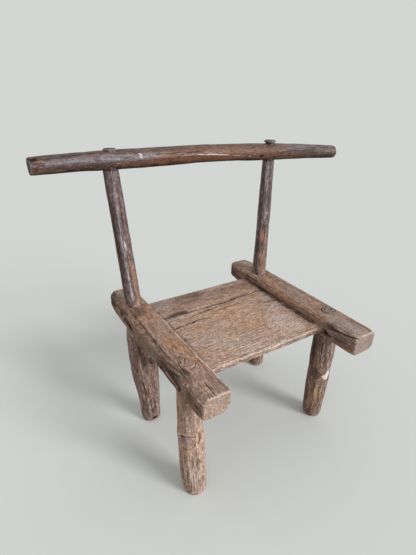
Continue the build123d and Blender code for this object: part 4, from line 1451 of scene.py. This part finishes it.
def postBillet(post):
    turns, ways = circle(postShape["around"], rightward, backward)
    seed = post["seed"]
    heights, reaches = np.array(post["outline"], float).T

    def underRail(points):
        # height of the rail's underside over each point
        middle = railMiddle(points[..., 0])
        off = points[..., 1] - middle[..., 1]
        return middle[..., 2] - np.sqrt(np.maximum(railRadius(points[..., 0]) ** 2 - off ** 2, 0))

    foot = beamTop - 0.4
    head = post["high"][2]
    topReach = np.interp(head - railHalf, heights, reaches)
    topRing = alongAxis(post, head - railHalf) + topReach * ways
    cope = underRail(topRing) + postShape["copeGap"]
    z = foot + np.linspace(0, 1, postShape["rings"])[:, None] * (cope - foot)[None]
    radius = np.interp(z, heights, reaches)
    radius = facetedRadius(
        turns[None, :], z, radius, post["facets"], post["phase"], seed, postShape["flats"]
    )
    radius = radius + postShape["burr"] * np.exp(-((z - foot) / 3.5) ** 2)
    body = alongAxis(post, z) + radius[..., None] * ways[None]
    tenon = post["tenon"]
    # tenon into the beam, shoulder, shaft, coped shoulder, tenon through the rail
    low = foot - postShape["footDepth"]
    footWays = postShape["footTenon"] * ways
    rings = endRings(alongAxis(post, low) + footWays, -up, 0.8, 1.6)[::-1]
    for height in np.linspace(low, foot, 7)[:-1]:
        rings.append(alongAxis(post, height) + footWays)
    neck = alongAxis(post, foot) + footWays
    for share in np.linspace(0, 1, 6)[:-1]:
        rings.append(neck + (body[0] - neck) * share)
    rings += list(body)
    holeLow, holeHigh = railHole(post)
    along = (holeHigh - holeLow) / np.linalg.norm(holeHigh - holeLow)
    crossing = holeLow + (holeHigh - holeLow) * holeBelow / (holeBelow + holeAbove)
    throat = crossing - along * 16 + tenon * ways
    throat[:, 2] = underRail(throat) + postShape["copeGap"]
    for share in np.linspace(0, 1, 6)[1:]:
        rings.append(body[-1] + (throat - body[-1]) * share)
    railTop = crossing + along * float(railRadius(post["high"][0]))
    start = crossing - along * 12
    for share in np.linspace(0, 1, 12):
        rings.append(start + (railTop - start) * share + tenon * ways)
    if post["spread"]:
        for share in np.linspace(0, 1, 12)[1:]:
            reach = tenon + (post["spread"] - tenon) * softStep(share * 1.8)
            rings.append(railTop + along * (0.6 + (post["rise"] - 1.8) * share) + reach * ways)
    else:
        rings.append(railTop + along * (post["rise"] - 1.2) + tenon * ways)
    rings += endRings(rings[-1], along, 1.2, 0.8)
    billet = Billet(rings, roundOf(post, 15.0))
    height = billet.start[..., 2]
    shaft = np.clip((height - foot - 0.5) / 3, 0, 1) * (height < head - 12)
    nearFoot = np.exp(-((height - foot) / 5) ** 2)
    billet.hew(postShape["hewing"], seed + 2, shaft)
    billet.roughen(*postShape["headHewing"], seed + 4, height > head + railHalf)
    billet.roughen(*postShape["footHewing"], seed + 5, nearFoot)
    billet.refresh()
    billet.wearArrises(6, 0.3, 0.75)
    billet.endGrain(along)
    billet.strew(postShape["hairs"], seed)
    billet.age(post["work"], seed + 20)
    # painted shade at the foot where the post meets the beam, and under the rail at its cope
    billet.mark("dark", ..., 0.8 * softStep((foot + 3 - height) / 3))
    billet.mark("dark", ..., 0.8 * softStep((height - cope.min() + 4) / 6) * (height < head))
    billet.mark("dark", ..., 0.45 * (height > head + 12))
    return billet


seatBoard = {
    "front": seatFront,
    "back": 140.0,
    "halfWidth": 147.0,          # with the tongues that sit in the beams
    "top": 249.5,
    "bottom": 238.0,
    "step": 2.2,                 # along the grain
    "edgePoints": (396, 20, 120, 16),        # along the top, front, underside and back
    "blurs": 7,                  # passes that round its edges
    "dish": 0.8,                 # worn hollow
    "leftUnderSplit": 3.0,       # wood under the deepest split
    "hewing": [((80, 22, 22), 0.4), ((40, 4.0, 8), 0.26), ((26, 1.8, 8), 0.14)],
    "edgeHewing": [((26, 26, 9), 0.9), ((5, 5, 5), 0.5)],
    "hairs": [
        (500, "top", (-135, -118), (130, 136), 36, 30, 0, 1.4),
        (600, "under", (-135, -118), (130, 136), 24, 60, 0, 1.6),
        (700, "front", (-130, 240), (120, 248), 10, 30, 0, 1.3),
    ],
    "work": [
        # the long split, the shorter ones beside it and the knot they bend round
        ("check", "top", [(-128, 63), (-92, 71), (-67, 65), (-38, 64), (-3, 64.5), (35, 65.5), (65, 69.5),
            (97, 67), (118, 69)], 5.0, 8.0, 0.7),
        ("check", "top", [(-46, 64), (-10, 64.5), (30, 65), (66, 69), (104, 67)], 6.4, 7.0, 0.6),
        ("check", "top", [(-88, 43), (-44, 50), (-6, 54), (16, 57)], 3.0, 2.6, 0.7),
        ("check", "top", [(-120, 64), (-92, 71), (-67, 65), (-30, 64)], 3.6, 5.0, 0.7),
        ("fineChecks", "top", (-130, 80), (120, 134), 30, 46, 0, 1.9),
        ("check", "top", [(-126, 21), (-100, 24), (-80, 26)], 4.4, 4.5, 0.7),
        ("check", "top", [(-80, 26), (-60, 28), (-34, 23)], 2.4, 2.0, 0.7),
        ("check", "top", [(-30, 42), (8, 41), (30, 44)], 2.0, 1.6, 0.7),
        ("check", "top", [(112, 70), (143, 62)], 4.0, 4.6),
        ("check", "top", [(93, 17), (118, 15), (138, 13)], 3.0, 3.2),
        ("check", "top", [(-140, 92), (-96, 96), (-52, 93)], 1.4, 1.4),
        ("check", "top", [(-100, 112), (-60, 110), (-30, 113)], 1.3, 1.2),
        ("check", "top", [(-134, -18), (-101, -14), (-83, -15)], 1.3, 1.2),
        ("check", "top", [(20, 112), (66, 117), (104, 114)], 1.3, 1.2),
        ("check", "top", [(-86, 29), (-79, 27), (-72, 29)], 1.8, 1.6),
        ("flake", "top", [(-86, 25), (-80, 29), (-73, 27.5), (-72, 23), (-79, 21)], 1.2, 1.4,
            {"dark": 1.0, "deep": 0.5}),
        ("streak", "top", "dark", [(-134, 64), (-112, 67), (-90, 68), (-62, 66)], 15.0, 0.95),
        ("streak", "top", "dark", [(-96, 80), (-60, 78), (-20, 76)], 6.0, 0.6),
        ("streak", "top", "dark", [(-44, 62), (-8, 63), (30, 63), (96, 64)], 7.0, 0.85),
        ("streak", "top", "dark", [(-40, 18), (-20, 20), (2, 18)], 3.0, 0.5),
        ("streak", "top", "dark", [(-90, 26), (-70, 28), (-44, 24)], 4.0, 0.55),
        ("streak", "top", "dark", [(96, 72), (120, 68), (144, 60)], 9.0, 0.7),
        ("streak", "top", "dark", [(84, 24), (116, 18), (142, 14)], 5.0, 0.6),
        # dirt and painted shade on the seat along both beams
        ("streak", "top", "dark", [(-129, 138), (-128, 40), (-128, -60), (-129, -122)], 12.0, 0.95),
        ("streak", "top", "dark", [(-121, 134), (-120, 60), (-120.5, -30), (-121, -118)], 3.0, 0.6),
        ("streak", "top", "dark", [(135, 138), (134.5, 40), (134.5, -60), (135, -118)], 7.0, 0.95),
        ("stain", "top", "dark", (-50, 114), (170, 46), 0.52),
        ("stain", "top", "dark", (84, 112), (90, 40), 0.4),
        ("stain", "top", "red", (0, 108), (150, 40), 0.3),
        ("check", "top", [(-120, 84), (-84, 88), (-40, 86)], 1.8, 1.6),
        ("check", "top", [(-60, 124), (-14, 121), (30, 125)], 1.8, 1.6),
        ("check", "top", [(-10, 96), (40, 98), (80, 94)], 1.7, 1.5),
        ("stain", "top", "grey", (-118, 104), (40, 26), 0.6),
        ("stain", "top", "warm", (-4, 20), (110, 34), 0.5),
        ("stain", "top", "warm", (-80, 2), (54, 30), 0.4),
        ("stain", "top", "warm", (30, -30), (80, 30), 0.45),
        ("stain", "top", "warm", (40, 90), (60, 12), 0.3),
        ("stain", "top", "pale", (84, -64), (66, 62), 0.5),
        ("stain", "top", "pale", (100, -90), (40, 30), 0.55),
        ("stain", "top", "grey", (104, -20), (40, 70), 0.4),
        ("stain", "top", "pale", (-20, -104), (130, 24), 0.5),
        ("stain", "top", "pale", (-70, -64), (70, 56), 0.42),
        ("stain", "top", "pale", (10, 0), (110, 50), 0.36),
        ("streak", "top", "pale", [(-134, -121), (0, -121.5), (134, -121)], 3.0, 0.9),
        ("flake", "front", [(128, 251), (138, 251), (139, 244), (130, 244)], 0.8, 1.0,
            {"warm": 0.9, "pale": 0.5}),
        ("streak", "front", "dark", [(-136, 240), (0, 239), (136, 240)], 4.0, 0.6),
        ("check", "front", [(-120, 244), (-60, 242.5), (-10, 244)], 1.4, 1.4),
        ("check", "front", [(30, 243), (80, 244), (120, 242.5)], 1.4, 1.4),
        ("check", "under", [(-120, 20), (0, 26), (110, 22)], 2.2, 3.0),
        ("check", "under", [(-60, -60), (40, -56), (120, -62)], 1.8, 2.0),
        ("stain", "under", "dark", (-40, 40), (80, 50), 0.4),
    ],
    "look": {
        "dark": tone(145, 114, 98), "mid": tone(182, 151, 133), "light": tone(204, 177, 161),
        "grey": tone(177, 158, 150), "warm": tone(186, 140, 102), "pale": tone(220, 204, 194),
        "stain": tone(84, 61, 51), "ringTone": tone(136, 104, 84), "pith": (0.012, 0.055, 0.0),
        "tilt": 0.035, "bend": 0.03, "ringWidth": 0.0065, "ringStrength": 0.35,
        "warmth": 0.5, "contrast": 0.9,
    },
}


def seatBillet():
    seat = seatBoard
    edge = 0.6
    half = seat["halfWidth"]
    stations = np.linspace(-half + edge, half - edge, round(2 * half / seat["step"]))
    front, back, top, bottom = (seat[name] for name in ("front", "back", "top", "bottom"))
    corners = ((back, top), (front, top), (front, bottom), (back, bottom))
    loop = blurAround(edgeLoop(corners, seat["edgePoints"]), seat["blurs"], 0)
    body = alongX(loop, stations)
    billet = Billet(capped(body, rightward, (edge, 22), (edge, 22)))
    x, y, z = billet.start[..., 0], billet.start[..., 1], billet.start[..., 2]
    free = 1 - np.clip((np.abs(x) - 137) / 2, 0, 1)          # outside the beams
    facesUp = np.clip(billet.aim @ up, 0, 1)
    hollow = np.clip(1 - (x / 130) ** 2 - ((y - 10) / 140) ** 2, 0, 1)
    billet.sink(free * facesUp * seat["dish"] * hollow)
    billet.hew(seat["hewing"], 5, free)
    billet.hew(seat["edgeHewing"], 8, free * np.clip(billet.aim @ -backward, 0, 1))
    billet.refresh()
    billet.wearArrises(9, 0.4, 0.9)
    billet.strew(seat["hairs"], 0)
    billet.age(seat["work"], 20)
    # the splits stop inside the board
    floor = np.where(z > top - 1, bottom + seat["leftUnderSplit"], -np.inf)
    billet.grid[..., 2] = np.maximum(billet.grid[..., 2], floor)
    return billet


def makeSeat():
    billet = seatBillet()
    finish = agedWood("worn seat wood", seatBoard["look"])
    piece = skinOf("seatBoard", billet.grid)
    dress(piece, billet, (0, 10, 244), backward, rightward, finish, "seat_board")


def makeBeams():
    for name, node, beam, leg in (
        ("leftBeam", "left_beam", leftBeam, frontLeftLeg),
        ("rightBeam", "right_beam", rightBeam, frontRightLeg),
    ):
        billet = beamBillet(beam)
        low, high = alongAxis(leg, beamJoints["bore"])
        middle = alongAxis(leg, beamTop)
        reach = (beamJoints["bedReach"], beamJoints["bedReach"])
        billet.stain("top", "dark", (middle[0], middle[1]), reach, beamJoints["bedDirt"], leg["seed"])
        piece = skinOf(name, billet.grid)
        radius = legTenon + beamJoints["boreSlack"]
        bore = mortiseCutter("mortise", low, high, radius, beamJoints["boreWander"], leg["seed"] + 9)
        cutOut(piece, bore)
        cutOut(piece, grooveCutter(*beamJoints["groove"]))
        origin = (beam["side"] * 165, 0, 250)
        finish = agedWood(name + " wood", beam["look"])
        dress(piece, billet, origin, rightward, backward, finish, node)


def makeLegs():
    for name, node, leg in (
        ("frontLeftLeg", "front_left_leg", frontLeftLeg),
        ("frontRightLeg", "front_right_leg", frontRightLeg),
        ("rearLeftLeg", "rear_left_leg", rearLeftLeg),
        ("rearRightLeg", "rear_right_leg", rearRightLeg),
    ):
        billet = legBillet(leg)
        piece = skinOf(name, billet.grid)
        if "wedge" in leg:
            cutOut(piece, slotCutter(leg))
        along = np.array(leg["high"]) - np.array(leg["low"])
        finish = agedWood(name + " wood", leg["look"])
        dress(piece, billet, leg["low"], rightward, along, finish, node)


def makePosts():
    for name, node, post in (("leftPost", "left_post", leftPost), ("rightPost", "right_post", rightPost)):
        billet = postBillet(post)
        along = np.array(post["high"]) - np.array(post["low"])
        piece = skinOf(name, billet.grid)
        finish = agedWood(name + " wood", postLook)
        dress(piece, billet, post["low"], rightward, along, finish, node)


def makeRail():
    billet = railBillet()
    for post in (leftPost, rightPost):
        seed = post["seed"]
        head = post["high"][2]
        below, above = alongAxis(post, (head - railHalf, head + railHalf))
        billet.stain("top", "dark", (above[0] + post["shift"], above[1]), (17, 17), 0.8, seed)
        billet.stain("under", "dark", (below[0], below[1]), (18, 18), 0.8, seed)
    piece = skinOf("backRail", billet.grid)
    for post in (leftPost, rightPost):
        radius = post["tenon"] + backRail["boreSlack"]
        bore = mortiseCutter(
            "railMortise", *railHole(post), radius, backRail["boreWander"], post["seed"] + 9
        )
        cutOut(piece, bore)
    finish = agedWood("rail wood", backRail["look"])
    dress(piece, billet, (0, 139, 560), backward, rightward, finish, "back_rail")


slotShape = {                    # the saw kerf that a wedge is driven into
    "half": 12.4,                # half its length across the tenon
    "thin": 0.25,                # share of the wedge's thickness at the bottom, and what it gains
    "widens": 0.75,
    "deep": 24.0,                # its bottom under the tenon's end, and its own height
    "tall": 30.0,
    "rings": 10,
    "points": (14, 14, 14, 14),
}
wedgeShape = {
    "thin": 0.22,
    "widens": 0.7,
    "deep": 23.2,
    "tall": 22.5,
    "rings": 20,
    "points": (24, 8, 24, 8),
    "look": {"mid": tone(150, 118, 98), "endTone": tone(146, 116, 100), "light": tone(172, 140, 120)},
}


def wedgeLines(leg):
    # the middle of a tenon's end, the way it points and the way its wedge lies
    middle = alongAxis(leg, leg["tenonTop"])
    along = np.array(leg["high"]) - np.array(leg["low"])
    along = along / np.linalg.norm(along)
    turn = math.radians(leg["wedge"]["turn"])
    breadth = np.array((math.cos(turn), math.sin(turn), 0.0))
    breadth = breadth - along * (breadth @ along)
    return middle, along, breadth / np.linalg.norm(breadth)


def plateRings(leg, half, shape):
    # a wedge, or its slot, which thickens towards the tenon's end
    middle, along, breadth = wedgeLines(leg)
    thick = np.cross(along, breadth)
    rings = []
    for share in np.linspace(0, 1, shape["rings"]):
        width = leg["wedge"]["thickness"] * (shape["thin"] + shape["widens"] * share) / 2
        corners = ((-half, -width), (half, -width), (half, width), (-half, width))
        loop = edgeLoop(corners, shape["points"])
        place = middle + along * (share * shape["tall"] - shape["deep"])
        rings.append(place + loop[:, :1] * breadth + (loop[:, 1:] + leg["wedge"]["offset"]) * thick)
    return rings


def slotCutter(leg):
    _, along, breadth = wedgeLines(leg)
    rings = np.array(plateRings(leg, slotShape["half"], slotShape))
    rings += 0.25 * wander(rings, 4.0, 5)[..., None] * np.cross(along, breadth)
    return skinOf("slot", rings)


def makeWedges():
    for name, node, leg in (
        ("frontLeftWedge", "front_left_wedge", frontLeftLeg),
        ("frontRightWedge", "front_right_wedge", frontRightLeg),
    ):
        middle, along, breadth = wedgeLines(leg)
        rings = plateRings(leg, leg["wedge"]["half"], wedgeShape)
        billet = Billet(capped(rings, along, (0.2, 1.2), (0.2, 1.2)))
        billet.roughen(4.0, 0.12, leg["seed"])
        billet.refresh()
        billet.endGrain(up)
        piece = skinOf(name, billet.grid)
        finish = agedWood(name + " wood", wedgeShape["look"])
        dress(piece, billet, middle, breadth, along, finish, node)


print("making the seat board")
makeSeat()
print("making the beams")
makeBeams()
print("making the legs")
makeLegs()
print("making the posts and the rail")
makePosts()
makeRail()
print("making the wedges")
makeWedges()


studio = {
    "place": (-0.46402, -0.58845, 0.700),
    "turn": 32.5,                            # degrees to the right of +Y
    "tip": 26.1,                             # degrees down
    "lean": -1.35,
    "lens": 407.14 * 36 / 555,               # for a sensor 36 mm along the frame's long side
    "sensor": 36,
    "floorReach": 60.0,                      # metres from the middle to its edges
    "backdrop": tone(214, 216, 214),
    "far": tone(211, 214, 211),              # the backdrop as the camera sees it, to meet the floor
    "bounce": tone(134, 126, 120),           # what the floor gives back to the wood
    "sky": 0.96,
    "lights": [
        # name, where it comes from, strength, spread in degrees
        ("window", (0.27, -0.54, 0.33), 2.0, 24.0),
        ("doorway", (0.52, -0.85, 0.1), 0.5, 9.0),
    ],
}


def makeFloor():
    material, nodes = newMaterial("plain floor")
    seen = nodes.add("LightPath", {}, {}, "Is Camera Ray")
    colour = nodes.mix(seen, studio["bounce"], studio["backdrop"])
    matt = {"Base Color": colour, "Roughness": 1.0, "Specular IOR Level": 0.0}
    nodes.add("OutputMaterial", {}, {"Surface": nodes.add("BsdfPrincipled", {}, matt)})
    reach = studio["floorReach"]
    corners = [(-reach, -reach, 0), (reach, -reach, 0), (reach, reach, 0), (-reach, reach, 0)]
    mesh = bpy.data.meshes.new("floor")
    mesh.from_pydata(corners, [], [(0, 1, 2, 3)])
    mesh.materials.append(material)
    floor = bpy.data.objects.new("floor", mesh)
    bpy.context.scene.collection.objects.link(floor)


def makeLights():
    # a broad soft light from the front and a little to the right, and a low one that gives the sheen
    for name, direction, strength, spread in studio["lights"]:
        data = bpy.data.lights.new(name, "SUN")
        data.energy = strength
        data.angle = math.radians(spread)
        lamp = bpy.data.objects.new(name, data)
        lamp.rotation_mode = "QUATERNION"
        lamp.rotation_quaternion = Vector(direction).to_track_quat("Z", "Y")
        bpy.context.scene.collection.objects.link(lamp)


def makeSky():
    world = bpy.data.worlds.new("studio")
    bpy.context.scene.world = world
    world.use_nodes = True
    nodes = Nodes(world.node_tree)
    rays = ("Is Camera Ray", "Is Glossy Ray", "Is Transmission Ray")
    camera, glossy, through = [nodes.add("LightPath", {}, {}, ray) for ray in rays]
    seen = (camera + glossy + through).clamped()
    colour = nodes.mix(seen, studio["backdrop"], studio["far"])
    strength = seen * (1 - studio["sky"]) + studio["sky"]
    nodes.add("OutputWorld", {}, {"Surface": nodes.add("Background", {},
        {"Color": colour, "Strength": strength})})


def makeCamera():
    turn, tip, lean = (math.radians(studio[key]) for key in ("turn", "tip", "lean"))
    across = Vector((math.cos(turn), -math.sin(turn), 0))
    ahead = Vector((math.sin(turn) * math.cos(tip), math.cos(turn) * math.cos(tip), -math.sin(tip)))
    downward = ahead.cross(across)
    x = across * math.cos(lean) + downward * math.sin(lean)
    y = across * math.sin(lean) - downward * math.cos(lean)
    camera = bpy.data.objects.new("camera", bpy.data.cameras.new("camera"))
    camera.data.lens = studio["lens"]
    camera.data.sensor_width = studio["sensor"]
    place = Matrix((x, y, -ahead)).transposed().to_4x4()
    place.translation = studio["place"]
    camera.matrix_world = place
    bpy.context.scene.collection.objects.link(camera)
    bpy.context.scene.camera = camera


print("lighting the studio")
makeFloor()
makeLights()
makeSky()
makeCamera()
bpy.context.scene.view_settings.view_transform = "Standard"
